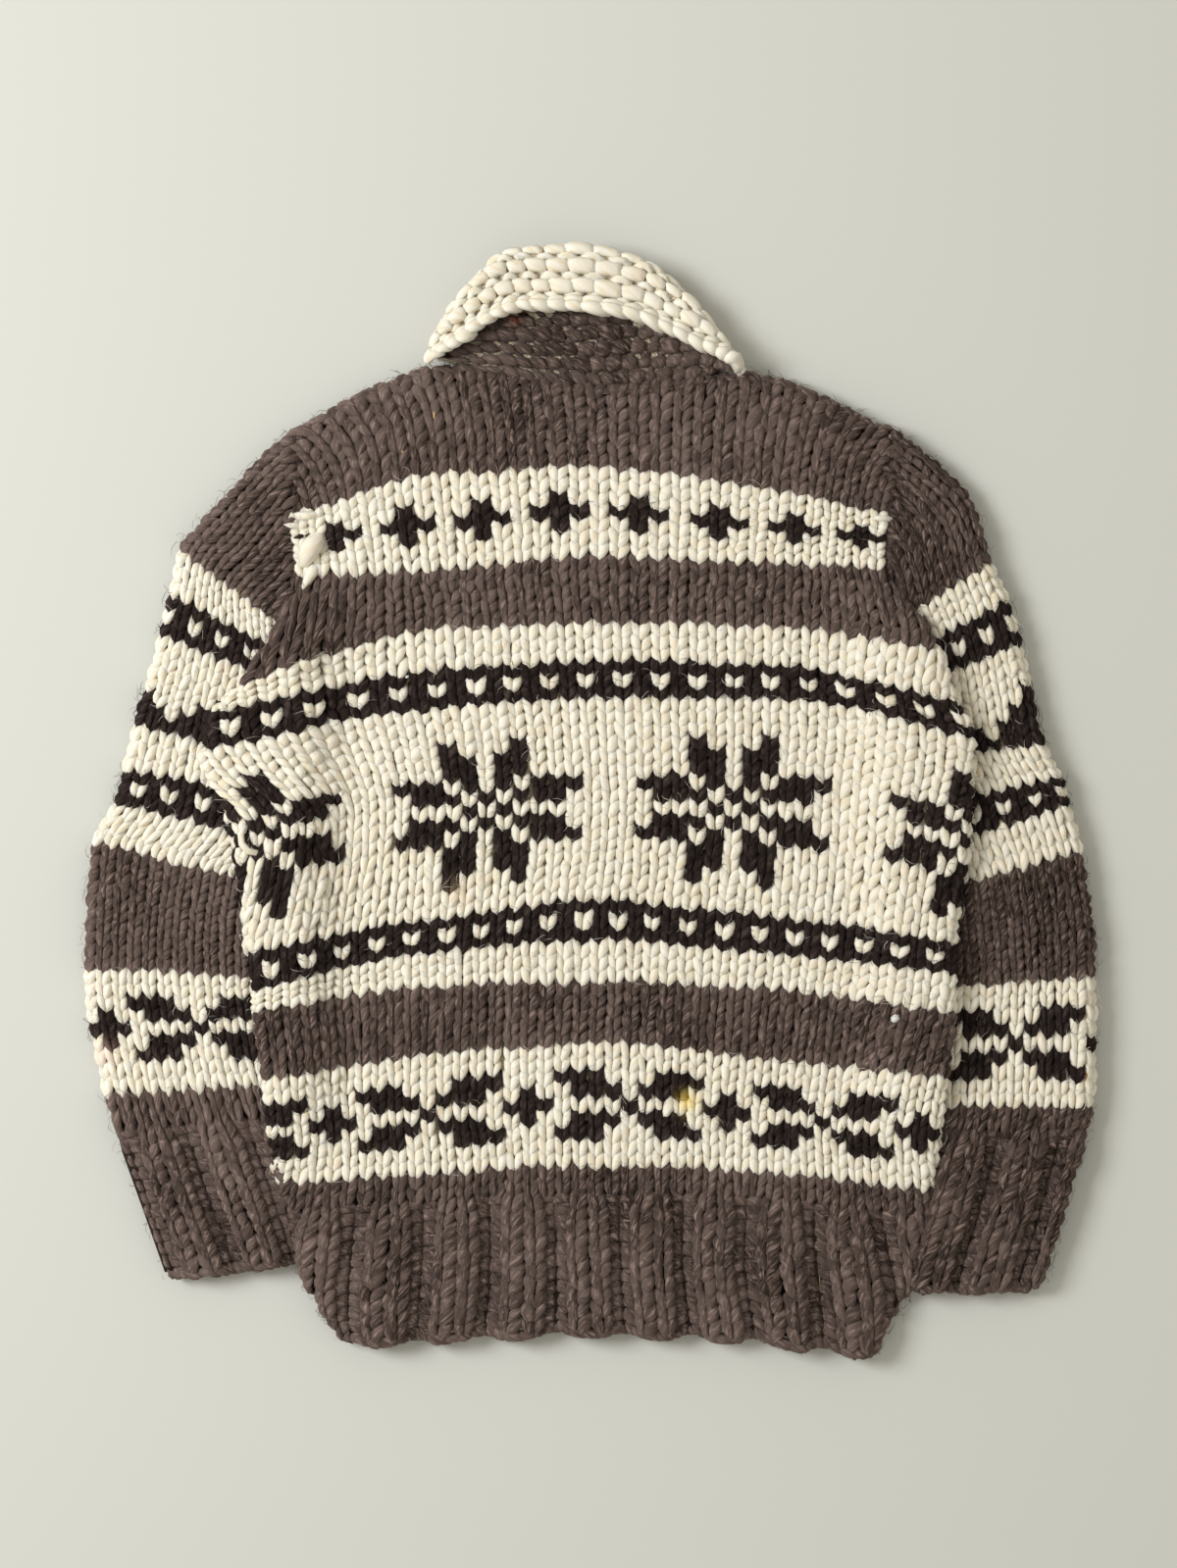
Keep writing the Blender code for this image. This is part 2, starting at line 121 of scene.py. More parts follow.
# Sleeves: one line for each change of yarn, from the outer fold to the armhole or to the edge under the body
SLEEVE_COLUMNS = ("row", "outer_x", "outer_y", "inner_x", "inner_y", "wale_mm")
SLEEVE_LINES_MM = {
    "left": (
        (-13, -196, 238, -194.5, 236, 10),
        (-8, -226, 211, -194.5, 187, 10),
        (-3.4, -251, 182, -195, 141, 10),
        (0, -268, 163, -196, 108, 10),
        (3, -274, 134, -196, 93, 10),
        (6, -281, 108, -196, 74, 10),
        (9, -288, 79, -196, 51, 10),
        (13, -297, 49, -197, 25, 10.4),
        (16, -305, 19, -199, 1, 10.8),
        (19, -310, -3, -199, -29, 10.8),
        (22, -324, -28, -200, -58, 10.4),
        (32, -329, -111, -201, -116, 10),
        (41, -317, -192, -200, -185, 10),
        (43, -311, -215, -199, -206, 10),
        (54, -279, -310, -192, -299, 10),
    ),
    "right": (
        (-13, 196, 240, 194.5, 238, 10),
        (-7.7, 229, 214, 194.8, 188, 10),
        (-4, 250, 190, 195.5, 153, 10),
        (0, 261, 155, 200, 116, 10),
        (3, 271, 131, 202, 93, 10),
        (6, 280, 102, 203, 70, 10),
        (9, 285, 77, 203, 44, 10),
        (13, 295, 36, 203, 25, 10),
        (16, 306, 14, 203, -7, 10),
        (19, 311, -5, 203, -36, 10),
        (22, 320, -35, 202, -63, 10),
        (32, 328, -115, 202, -125, 10),
        (41, 326, -200, 203, -201, 10),
        (43, 323, -215, 204, -216, 10),
        (54, 295, -316, 208, -318, 10),
    ),
}
SLEEVE_TOP_ROW, CUFF_ROW, SLEEVE_RIB_ROW = -13, 54, 43
SLEEVE_TUCK_ROWS = (2, 7)  # over which the inner edge turns from a seam into a fold

# Collar: its fold and its turned-over edge, from the left end of the neckline to the right
COLLAR_COLUMNS = ("along", "fold_x", "fold_y", "edge_x", "edge_y")
COLLAR_LINES_MM = (
    (0.00, -108, 289, -98, 287),
    (0.12, -98, 311, -84, 296),
    (0.25, -80, 336, -64, 310),
    (0.38, -54, 357, -42, 318),
    (0.55, -10, 361, -4, 317),
    (0.68, 32, 352, 30, 311),
    (0.80, 59, 333, 56, 299),
    (0.90, 80, 309, 76, 290),
    (1.00, 96, 288, 90, 284),
)
COLLAR_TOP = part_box("collar")[1][2]
COLLAR_RADIUS = 7.8 * MM  # of its fold
COLLAR_WALES = 18
RIDGE_MM = 10.9  # from one garter ridge to the next
TURNED_ROWS = np.array([1.5, 2.72, 3.94, 5.16])  # of the ridges on the turned part, from its edge
STAND_RISE = 3.8 * MM

# Charts, X in the motif's yarn
BIG_STAR = (
    "...X...X...",
    "...XX.XX...",
    "...XX.XX...",
    "XXX.X.X.XXX",
    ".XXX.X.XXX.",
    "....X.X....",
    ".XXX.X.XXX.",
    "XXX.X.X.XXX",
    "...XX.XX...",
    "...XX.XX...",
    "...X...X...",
)
BAND = (
    "XXX...XXX...",
    ".XXX.XXX..X.",
    "....X....XXX",
    ".XXX.XXX..X.",
    "XXX...XXX...",
)
SMALL_STAR = (".X.", "XXX", ".X.")
HEART = ("X",)
PEAKS = ("X.....", "XX...X", "XXX.XX", "XXXXXX")

# Grounds: first row and yarn of each stripe. Motifs: first row, wale of the column `at`, repeat, chart, yarn.
BODY_GROUNDS = (
    (-9, BROWN), (7, CREAM), (14, BROWN), (19, CREAM), (22, DARK), (25, CREAM),
    (41, DARK), (44, CREAM), (47, BROWN), (52, CREAM), (61, BROWN),
)
BODY_MOTIFS = (
    {"row": 9, "wale": 2, "at": 1, "repeat": 4, "chart": SMALL_STAR, "yarn": DARK},
    {"row": 23, "wale": 1, "at": 0, "repeat": 2, "chart": HEART, "yarn": CREAM},
    {"row": 28, "wale": 7, "at": 5, "repeat": 14, "chart": BIG_STAR, "yarn": DARK},
    {"row": 42, "wale": 1, "at": 0, "repeat": 2, "chart": HEART, "yarn": CREAM},
    {"row": 54, "wale": 2, "at": 4, "repeat": 12, "chart": BAND, "yarn": DARK},
)
SLEEVE_GROUNDS = (
    (-20, BROWN), (0, CREAM), (3, DARK), (6, CREAM), (16, DARK), (19, CREAM),
    (22, BROWN), (32, CREAM), (41, BROWN),
)
SLEEVE_MOTIFS = {
    "left": (
        {"row": 4, "wale": 0, "at": 0, "repeat": 2, "chart": HEART, "yarn": CREAM},
        {"row": 9, "wale": 5, "at": 0, "repeat": 6, "chart": PEAKS, "yarn": DARK},
        {"row": 17, "wale": 1, "at": 0, "repeat": 2, "chart": HEART, "yarn": CREAM},
        {"row": 34, "wale": 7, "at": 4, "repeat": 12, "chart": BAND, "yarn": DARK},
    ),
    "right": (
        {"row": 4, "wale": -1, "at": 0, "repeat": 2, "chart": HEART, "yarn": CREAM},
        {"row": 9, "wale": -1, "at": 0, "repeat": 6, "chart": PEAKS, "yarn": DARK},
        {"row": 17, "wale": -1, "at": 0, "repeat": 2, "chart": HEART, "yarn": CREAM},
        {"row": 34, "wale": -6, "at": 4, "repeat": 12, "chart": BAND, "yarn": DARK},
    ),
}
RIB_DEPTHS = {"body": 3.1 * MM, "sleeve": 3.0 * MM}
RIB_PERIOD = 4  # two knit wales, two purl wales
RIB_VALLEY = {"body": 1.5, "left": 5.0, "right": -6.0}  # wale at the middle of one purl pair

# Strands: sections (across, down, out, half width, half depth) in mm about the middle of the stitch
LEFT_LEG = (
    (-0.5, 8.8, -0.4, 0, 0),
    (-0.9, 7.3, 1.0, 1.2, 1.3),
    (-1.9, 4.2, 2.3, 2.3, 2.3),
    (-2.9, 0.4, 2.6, 3.0, 2.8),
    (-3.4, -3.4, 1.2, 3.1, 2.8),
    (-3.6, -6.8, -1.2, 2.4, 2.2),
    (-3.7, -9.4, -3.4, 0, 0),
)
RIGHT_LEG = (
    (0.5, 8.6, -0.2, 0, 0),
    (0.9, 7.3, 1.2, 1.3, 1.4),
    (1.8, 4.6, 2.5, 2.4, 2.4),
    (3.0, 1.0, 2.9, 3.1, 2.9),
    (4.1, -2.4, 1.4, 3.0, 2.7),
    (4.8, -5.4, -1.0, 2.2, 2.1),
    (5.1, -7.8, -3.2, 0, 0),
)
HIDDEN_LEG = (
    (0.4, 6.4, 0.4, 0, 0),
    (2.0, 3.0, 1.8, 2.6, 2.2),
    (3.8, -3.0, 0.8, 2.9, 2.4),
    (4.6, -7.4, -2.4, 0, 0),
)
PURL = (
    (-9.0, 2.2, -2.6, 0, 0),
    (-7.0, 1.2, -0.9, 2.6, 2.2),
    (-3.2, -0.7, 0.9, 3.9, 2.8),
    (0.0, -1.2, 1.5, 4.1, 3.0),
    (3.2, -0.7, 0.9, 3.9, 2.8),
    (7.0, 1.2, -0.9, 2.6, 2.2),
    (9.0, 2.2, -2.6, 0, 0),
)
GARTER = (
    (-8.4, 1.7, -3.6, 0, 0),
    (-7.3, 1.0, -0.2, 4.2, 3.0),
    (-4.4, 0.3, 0.9, 5.0, 3.3),
    (0.0, -0.1, 1.1, 5.1, 3.4),
    (4.4, 0.1, 0.9, 5.0, 3.3),
    (7.3, 0.8, -0.2, 4.2, 3.0),
    (8.4, 1.5, -3.6, 0, 0),
)
GARTER_BETWEEN = (
    (-6.0, -3.4, -4.0, 0, 0),
    (-4.4, -2.0, -1.8, 2.0, 2.0),
    (-1.0, 0.2, 0.2, 2.9, 2.6),
    (2.2, 0.8, 0.0, 2.8, 2.4),
    (5.0, 0.2, -2.0, 1.8, 1.8),
    (6.4, -0.6, -4.0, 0, 0),
)
GARTER_ARCH = (
    (-7.4, 4.6, -3.4, 0, 0),
    (-5.2, 2.2, -0.8, 2.6, 2.4),
    (-2.2, -0.5, 0.9, 3.1, 2.8),
    (1.6, -0.9, 1.1, 3.2, 2.9),
    (4.8, 1.6, -0.4, 2.7, 2.5),
    (6.8, 4.4, -3.4, 0, 0),
)
# A loop of yarn that lies free, a stalk of straw and a ball of lint
FREE_LOOP = (
    (3.0, -8.6, -1.5, 0, 0),
    (0.0, -7.4, 1.6, 1.3, 1.3),
    (-2.8, -3.4, 2.8, 1.6, 1.5),
    (-2.6, 1.6, 3.0, 1.6, 1.5),
    (0.6, 5.8, 2.8, 1.6, 1.5),
    (5.6, 7.6, 1.4, 1.4, 1.3),
    (8.4, 6.8, -1.5, 0, 0),
)
STALK = (
    (0.0, -4.4, 0.2, 0, 0),
    (0.3, -2.4, 0.9, 0.42, 0.35),
    (-0.2, 0.6, 1.2, 0.5, 0.4),
    (0.4, 3.2, 0.8, 0.4, 0.3),
    (0.9, 4.8, 0.2, 0, 0),
)
BALL = (
    (0.0, -2.9, 0.6, 0, 0),
    (0.3, -1.7, 1.2, 1.7, 1.6),
    (0.2, 0.1, 1.6, 2.4, 2.2),
    (-0.2, 1.8, 1.3, 1.6, 1.5),
    (-0.2, 2.9, 0.8, 0, 0),
)
# Loose fibres: one lies over the stitches, one stands up from them
HAIRS = (
    ((-5.5, 0.0, -1.2, 0, 0), (-2.2, 1.2, 1.2, 0.15, 0.15), (2.2, 0.8, 2.0, 0.13, 0.13), (6.2, -1.8, 1.0, 0, 0)),
    ((-1.0, 0.0, -1.0, 0, 0), (0.8, 0.7, 1.8, 0.15, 0.15), (2.8, 0.6, 3.6, 0.12, 0.12), (5.6, -0.8, 4.6, 0, 0)),
)
HAIR_LIFT = 2.6  # mm, how high loose fibres start over the cloth's outer surface
HAIRS_ON = {"brown": 2, "cream": 1, "dark": 4}  # loose fibres of each kind on a stitch, halved for the second kind
CAST_ON = (
    (-8.0, -1.6, -2.6, 0, 0),
    (-6.0, -1.0, -0.8, 2.2, 2.2),
    (-2.4, 0.2, 1.2, 3.3, 3.0),
    (1.6, 1.2, 1.2, 3.4, 3.1),
    (5.2, 2.2, -0.6, 2.4, 2.3),
    (7.4, 2.8, -2.4, 0, 0),
)
SIDES, HIDDEN_SIDES = 6, 4
SLEEVE_PAINTED_LIGHT = {"left": 0.12, "right": -0.3}  # painted light and shade: how much lighter each sleeve's yarn is made than the body's, the left sleeve lit more and the right one shaded
REST = 1.0 * MM  # below this height, yarn is pressed flat on what it rests on
YARN_DEPTH = 2.2  # mm that a strand's middle lies under the cloth's outer surface
HIDDEN_DEPTH = 4.9
SHELL_INSETS = {"up": 3.9 * MM, "side": 1.2 * MM, "down": 2.2 * MM}  # of the shell, from the solid's faces
LEAST_HEIGHT = 0.3 * MM  # of the shell over what it rests on


def through(at, knots, values):
    """Monotone cubic through (knots, values), read at `at`, and straight on beyond either end.

    The last axis runs along the curve; leading axes hold one curve each.
    """
    at, knots, values = (np.asarray(a, float) for a in (at, knots, values))
    shape = np.broadcast_shapes(at.shape[:-1], knots.shape[:-1], values.shape[:-1])
    knots = np.broadcast_to(knots, shape + knots.shape[-1:])
    values = np.broadcast_to(values, shape + values.shape[-1:])
    at = np.broadcast_to(at, shape + at.shape[-1:])
    step = np.diff(knots)
    slope = np.diff(values) / step
    before, after = 2 * step[..., 1:] + step[..., :-1], step[..., 1:] + 2 * step[..., :-1]
    turning = slope[..., :-1] * slope[..., 1:] <= 0
    safe_a, safe_b = np.where(turning, 1, slope[..., :-1]), np.where(turning, 1, slope[..., 1:])
    middle = np.where(turning, 0, (before + after) / (before / safe_a + after / safe_b))
    tangent = np.concatenate([slope[..., :1], middle, slope[..., -1:]], axis=-1)
    cell = (at[..., None] >= knots[..., None, 1:-1]).sum(-1)

    def pick(array, shift=0):
        return np.take_along_axis(array, cell + shift, -1)

    free = (at - pick(knots)) / pick(step)
    t = np.clip(free, 0, 1)
    start, end = pick(tangent), pick(tangent, 1)
    curve = pick(values) * (1 + 2 * t) * (1 - t) ** 2 + pick(values, 1) * t * t * (3 - 2 * t)
    curve += pick(step) * (t * (1 - t) ** 2 * start - t * t * (1 - t) * end)
    return curve + (free - t) * pick(step) * np.where(free > 1, end, start)


def ease(t):
    """0 below 0, 1 above 1, and a smooth S between."""
    t = np.clip(t, 0, 1)
    return t * t * (3 - 2 * t)


def mix(a, b, share):
    return a + (b - a) * share


def table(lines, columns, name):
    return np.array([line[columns.index(name)] for line in lines], float)


def roll(arc, radius):
    """(distance in plan, height) after `arc` of cloth from the middle of a folded edge.

    The cloth climbs a quarter circle, arc = radius x angle, and runs flat after it.
    """
    angle = np.clip(arc / radius, -1.2, math.pi / 2)
    beyond = np.maximum(arc - radius * math.pi / 2, 0)
    return radius * (1 - np.cos(angle)) + beyond, radius * np.sin(angle)


def unevenness(seed, wale, row, size):
    """A few soft waves of different lengths and directions, summed: the cloth's hand-made unevenness."""
    rng = np.random.default_rng(seed)
    total = np.zeros(np.broadcast(wale, row).shape)
    for _ in range(6):
        turn, length, phase = rng.uniform(0, math.tau), rng.uniform(5, 17), rng.uniform(0, math.tau)
        total = total + np.sin((wale * math.cos(turn) + row * math.sin(turn)) * math.tau / length + phase)
    return total * size / 6


# Body


def body_line(row, name):
    return through(row, table(BODY_LINES_MM, BODY_COLUMNS, "row"), table(BODY_LINES_MM, BODY_COLUMNS, name)) * MM


def body_spread(wale, row):
    """(plan x, arc from the left edge, arc from the right edge, share of folding) of points of the body.

    Along a row, x is a smooth curve through both side edges and wale 0, so the pitch changes softly. Where the
    side is folded, the outermost cloth is laid round the fold and its x follows the roll.
    """
    row_line = row[..., :1]
    rows = table(WALE_LINES_MM, WALE_COLUMNS, "row")
    left_x, right_x = body_line(row_line, "left_x"), body_line(row_line, "right_x")
    left_wale, right_wale, *between = (
        through(row_line, rows, table(WALE_LINES_MM, WALE_COLUMNS, name)) for name in WALE_COLUMNS[1:]
    )
    middle_x = between[1]
    tenths = [0 * left_wale + at for at in (-10, 0, 10)]
    knots = np.concatenate([left_wale, *tenths, right_wale], axis=-1)
    gathered = wale + rib_gather(wale, row, "body")
    x = through(gathered, knots, np.concatenate([left_x, *(x * MM for x in between), right_x], axis=-1))
    folded = ease((row_line - ARMHOLE_ROW) / (FOLD_FULL_ROW - ARMHOLE_ROW))
    arcs, moved = [], x
    for side, edge_x, y_name in ((-1, left_x, "left_y"), (1, right_x, "right_y")):
        name = "left_x" if side < 0 else "right_x"
        run_x = body_line(row_line + 0.05, name) - body_line(row_line - 0.05, name)
        run_y = body_line(row_line + 0.05, y_name) - body_line(row_line - 0.05, y_name)
        square = np.abs(run_y) / np.hypot(run_x, run_y)
        arc = side * (edge_x - x) * square + QUARTER_EXTRA * FOLD * folded
        arcs.append(arc)
        plan = roll(arc, FOLD)[0] / square
        is_side = side * (x - middle_x * MM) > 0
        moved = np.where(is_side, mix(x, edge_x - side * plan, folded), moved)
    return moved, arcs[0], arcs[1], folded, left_x, right_x


def side_lift(x, row):
    """Height of the body's underside where it lies over the tucked sleeves."""
    on = ease((row - LIFT_ON_ROWS[0]) / (LIFT_ON_ROWS[1] - LIFT_ON_ROWS[0]))
    off = ease((row - LIFT_OFF_ROWS[0]) / (LIFT_OFF_ROWS[1] - LIFT_OFF_ROWS[0]))
    left = 1 - ease((x - TUCK_LEFT_X) / LIFT_RUN)
    right = 1 - ease((TUCK_RIGHT_X - x) / LIFT_RUN)
    return LIFT * on * (1 - off) * np.maximum(left, right)


def rib_share(row, start):
    return ease((row - start + 0.5) / 2.5)


def rib_phase(wale, panel):
    return np.cos((wale - RIB_VALLEY[panel]) * math.tau / RIB_PERIOD)


def rib_gather(wale, row, panel):
    """Shift in wales that draws each purl pair together: a sine, zero in the middle of the valleys."""
    start = BODY_RIB_ROW if panel == "body" else SLEEVE_RIB_ROW
    return -0.34 * rib_share(row, start) * np.sin((wale - RIB_VALLEY[panel]) * math.tau / RIB_PERIOD)


def rib_depth(wale, row, panel):
    """Height of the rib: a cosine with its purl pairs low and its knit pairs high."""
    start = BODY_RIB_ROW if panel == "body" else SLEEVE_RIB_ROW
    depth = RIB_DEPTHS["body" if panel == "body" else "sleeve"]
    return -rib_share(row, start) * (0.4 * MM + depth * rib_phase(wale, panel))


def body_points(wale, row, is_back=True):
    """Outer surface of the back, or of the fronts under it.

    x comes from the spread, y from the row's curve through its five stations, and z from the fold's roll at
    the sides and the shoulders, plus the lift over the sleeves.
    """
    x, from_left, from_right, folded, left_x, right_x = body_spread(wale, row)
    across = 2 * (x - left_x) / (right_x - left_x) - 1
    shoulder = ease((np.abs(across) - NECK_END + 0.02) / 0.06)
    down, top = roll((row + QUARTER_EXTRA * FOLD / MM / SHOULDER_ROW_MM) * SHOULDER_ROW_MM * MM, FOLD)
    plan_row = mix(row, down / MM / SHOULDER_ROW_MM, shoulder)
    heights = np.stack([body_line(plan_row, name) for name in BODY_COLUMNS[3:]], axis=-1)
    y = through(across[..., None], BODY_STATIONS, heights)[..., 0]
    y = y + unevenness(3, wale, row, 1.6 * MM)
    y = y + SCALLOP * rib_phase(wale, "body") * ease((row - BODY_RIB_ROW) / (HEM_ROW - BODY_RIB_ROW))
    if not is_back:
        neck = np.clip(1 - (across / NECK_END) ** 2, 0, 1)
        y = y - FRONT_NECK_DROP * neck * (1 - ease(row / FRONT_NECK_ROWS))
    rise = np.minimum(roll(from_left, FOLD)[1], roll(from_right, FOLD)[1])
    rise = mix(FOLD, rise, folded) * mix(1, top / FOLD, shoulder)
    if is_back:
        rise = rise + unevenness(5, wale, row, 1.3 * MM) + rib_depth(wale, row, "body")
        return np.stack([x + unevenness(7, wale, row, 1.0 * MM), y, FOLD + rise + side_lift(x, row)], axis=-1)
    return np.stack([x, y, FOLD - rise + side_lift(x, row)], axis=-1)


# Sleeves


def sleeve_line(row, side, name):
    lines = SLEEVE_LINES_MM[side]
    return through(row, table(lines, SLEEVE_COLUMNS, "row"), table(lines, SLEEVE_COLUMNS, name))


def sleeve_arcs(wale, row, side):
    """(arc from the outer fold, arc from the inner edge) in metres, and the row's two ends in plan."""
    row_line = row[..., :1]
    outer = np.stack([sleeve_line(row_line, side, "outer_" + a) for a in "xy"], axis=-1) * MM
    inner = np.stack([sleeve_line(row_line, side, "inner_" + a) for a in "xy"], axis=-1) * MM
    sign = 1 if side == "left" else -1
    pitch = sleeve_line(row_line, side, "wale_mm") * MM
    arc = sign * (wale + rib_gather(wale, row, side)) * pitch
    span = np.linalg.norm(inner - outer, axis=-1)
    tucked = ease((row_line - SLEEVE_TUCK_ROWS[0]) / (SLEEVE_TUCK_ROWS[1] - SLEEVE_TUCK_ROWS[0]))
    whole = span + QUARTER_EXTRA * FOLD * (1 + tucked)
    return arc, whole - arc, outer, inner, tucked


def sleeve_points(wale, row, side, is_top=True):
    """One layer of a sleeve: straight courses between two edges, each rolled round the fold."""
    arc, rest, outer, inner, tucked = sleeve_arcs(wale, row, side)
    near, rise = roll(arc, FOLD)
    far, far_rise = roll(rest, FOLD)
    span = np.linalg.norm(inner - outer, axis=-1)
    far_plan = mix(rest, far, tucked)
    plan = np.where(arc < rest, near, span - far_plan)
    rise = np.where(arc < rest, rise, mix(FOLD, far_rise, tucked))
    place = outer + (inner - outer) / span[..., None] * plan[..., None]
    seed = 11 if side == "left" else 17
    place = place + np.stack([unevenness(seed, wale, row, 1 * MM), unevenness(seed + 1, wale, row, 1.5 * MM)], -1)
    if is_top:
        rise = rise + unevenness(seed + 2, wale, row, 1.2 * MM) + rib_depth(wale, row, side)
    return np.concatenate([place, (FOLD + (rise if is_top else -rise))[..., None]], axis=-1)


def body_edge_x(y, side):
    """x of the body's side edge at a height y in plan."""
    rows = np.arange(0, HEM_ROW + 0.1, 0.5)
    xs, ys = body_line(rows, side + "_x"), body_line(rows, side + "_y")
    return np.interp(-y, -ys, xs)


# Collar


def collar_line(wale, name):
    along = np.asarray(wale) / COLLAR_WALES
    knots = table(COLLAR_LINES_MM, COLLAR_COLUMNS, "along")
    return through(along, knots, table(COLLAR_LINES_MM, COLLAR_COLUMNS, name)) * MM


def neck_seam(wale, is_back=True):
    """Points of the neckline, where the collar is joined."""
    across = (2 * np.asarray(wale) / COLLAR_WALES - 1) * NECK_END
    left_x, right_x = (float(body_line(np.zeros(1), name)[0]) for name in ("left_x", "right_x"))
    heights = np.array([float(body_line(np.zeros(1), name)[0]) for name in BODY_COLUMNS[3:]])
    y = through(across, BODY_STATIONS, heights)
    if not is_back:
        y = y - FRONT_NECK_DROP * np.clip(1 - (across / NECK_END) ** 2, 0, 1)
    return mix(left_x, right_x, (across + 1) / 2), y


def stand_points(wale, row):
    """The stand: straight lines from the neckline seam, row 0, out to the fold; rows are one garter ridge each."""
    seam_x, seam_y = neck_seam(wale)
    fold_x, fold_y = collar_line(wale, "fold_x"), collar_line(wale, "fold_y")
    length = np.hypot(fold_x - seam_x, fold_y - seam_y)
    v = -row * RIDGE_MM * 0.92 * MM / length
    z = 2 * FOLD + STAND_RISE * np.clip(v, 0, 1) + unevenness(23, wale * 2, row * 2, 1 * MM)
    return np.stack([mix(seam_x, fold_x, v), mix(seam_y, fold_y, v), z], axis=-1)


def turned_points(wale, row):
    """The turned-over part: rows are garter ridges counted out from its edge, and the cloth rolls down at the fold."""
    fold_x, fold_y = collar_line(wale, "fold_x"), collar_line(wale, "fold_y")
    edge_x, edge_y = collar_line(wale, "edge_x"), collar_line(wale, "edge_y")
    length = np.hypot(edge_x - fold_x, edge_y - fold_y)
    arc = length + QUARTER_EXTRA * COLLAR_RADIUS + row * RIDGE_MM * MM
    plan, rise = roll(arc, COLLAR_RADIUS)
    share = plan / length
    z = COLLAR_TOP - COLLAR_RADIUS + rise + unevenness(29, wale * 2, row * 2, 0.8 * MM)
    return np.stack([mix(fold_x, edge_x, share), mix(fold_y, edge_y, share), z], axis=-1)


def collar_under_points(wale, row):
    """Underside of the hidden front halves, from the front neckline out to the fold."""
    seam_x, seam_y = neck_seam(wale, False)
    fold_x, fold_y = collar_line(wale, "fold_x"), collar_line(wale, "fold_y")
    length = np.hypot(fold_x - seam_x, fold_y - seam_y)
    v = -row * RIDGE_MM * MM / length
    return np.stack([mix(seam_x, fold_x, v), mix(seam_y, fold_y, v), 0 * v], axis=-1)


# Stitches


class Cloth:
    """The outer surface of a piece of knitting, as a lattice over its wales and rows.

    The outward direction is the cross product of the steps down and across, turned round on an underside.
    """

    def __init__(self, points, wales, rows, facing=1):
        self.start = (wales[0], rows[0])
        wale, row = np.meshgrid(np.arange(wales[0], wales[1], LATTICE), np.arange(rows[0], rows[1], LATTICE))
        self.points = points(wale, row)
        down, across = np.gradient(self.points, axis=0), np.gradient(self.points, axis=1)
        out = np.cross(down, across)
        self.out = facing * out / np.maximum(np.linalg.norm(out, axis=-1, keepdims=True), 1e-12)

    def at(self, wale, row, lift):
        """Points `lift` above the cloth: the lattice's four nearest points and directions, averaged by distance."""
        u = np.clip((wale - self.start[0]) / LATTICE, 0, self.points.shape[1] - 1.001)
        v = np.clip((row - self.start[1]) / LATTICE, 0, self.points.shape[0] - 1.001)
        i, j = u.astype(int), v.astype(int)
        u, v = (u - i)[..., None], (v - j)[..., None]

        def read(grid):
            upper = grid[j, i] * (1 - u) + grid[j, i + 1] * u
            lower = grid[j + 1, i] * (1 - u) + grid[j + 1, i + 1] * u
            return upper * (1 - v) + lower * v

        return read(self.points) + read(self.out) * lift[..., None]


class Strand:
    """A strand's closed skin: an ellipse of corners round each section, and a point at both ends.

    Corner k of a section lies at its middle + half width x cos(k) across the strand + half depth x sin(k) out.
    """

    def __init__(self, sections, sides, mirror=False):
        sections = np.array(sections, float)
        if mirror:
            sections[:, 0] *= -1
        middle, half = sections[1:-1, :3], sections[1:-1, 3:]
        run = np.gradient(sections[:, :2], axis=0)[1:-1]
        run /= np.linalg.norm(run, axis=1, keepdims=True)
        square = np.stack([-run[:, 1], run[:, 0], 0 * run[:, 0]], axis=1)
        angle = np.arange(sides) * math.tau / sides
        ring = middle[:, None] + square[:, None] * (half[:, :1] * np.cos(angle))[..., None]
        ring[..., 2] += half[:, 1:] * np.sin(angle)
        rings = len(middle)
        self.points = np.concatenate([ring.reshape(-1, 3), sections[[0, -1], :3]])
        along = np.cumsum(np.linalg.norm(np.diff(sections[:, :3], axis=0), axis=1))
        lengths = np.concatenate([np.repeat(along[: rings], sides), [0, along[-1]]])
        turn = np.concatenate([np.tile(angle, rings), [0, 0]]) + lengths * 0.16
        self.fibre = np.stack([np.cos(turn), np.sin(turn), lengths / 9], axis=1)
        side = np.arange(sides)
        beside = (side + 1) % sides
        self.quads = np.concatenate(
            [np.stack([r * sides + side, r * sides + beside, (r + 1) * sides + beside, (r + 1) * sides + side], 1)
             for r in range(rings - 1)]
        )
        first, last, end = rings * sides, rings * sides + 1, (rings - 1) * sides
        self.tris = np.concatenate(
            [np.stack([beside, side, 0 * side + first], 1), np.stack([end + side, end + beside, 0 * side + last], 1)]
        )


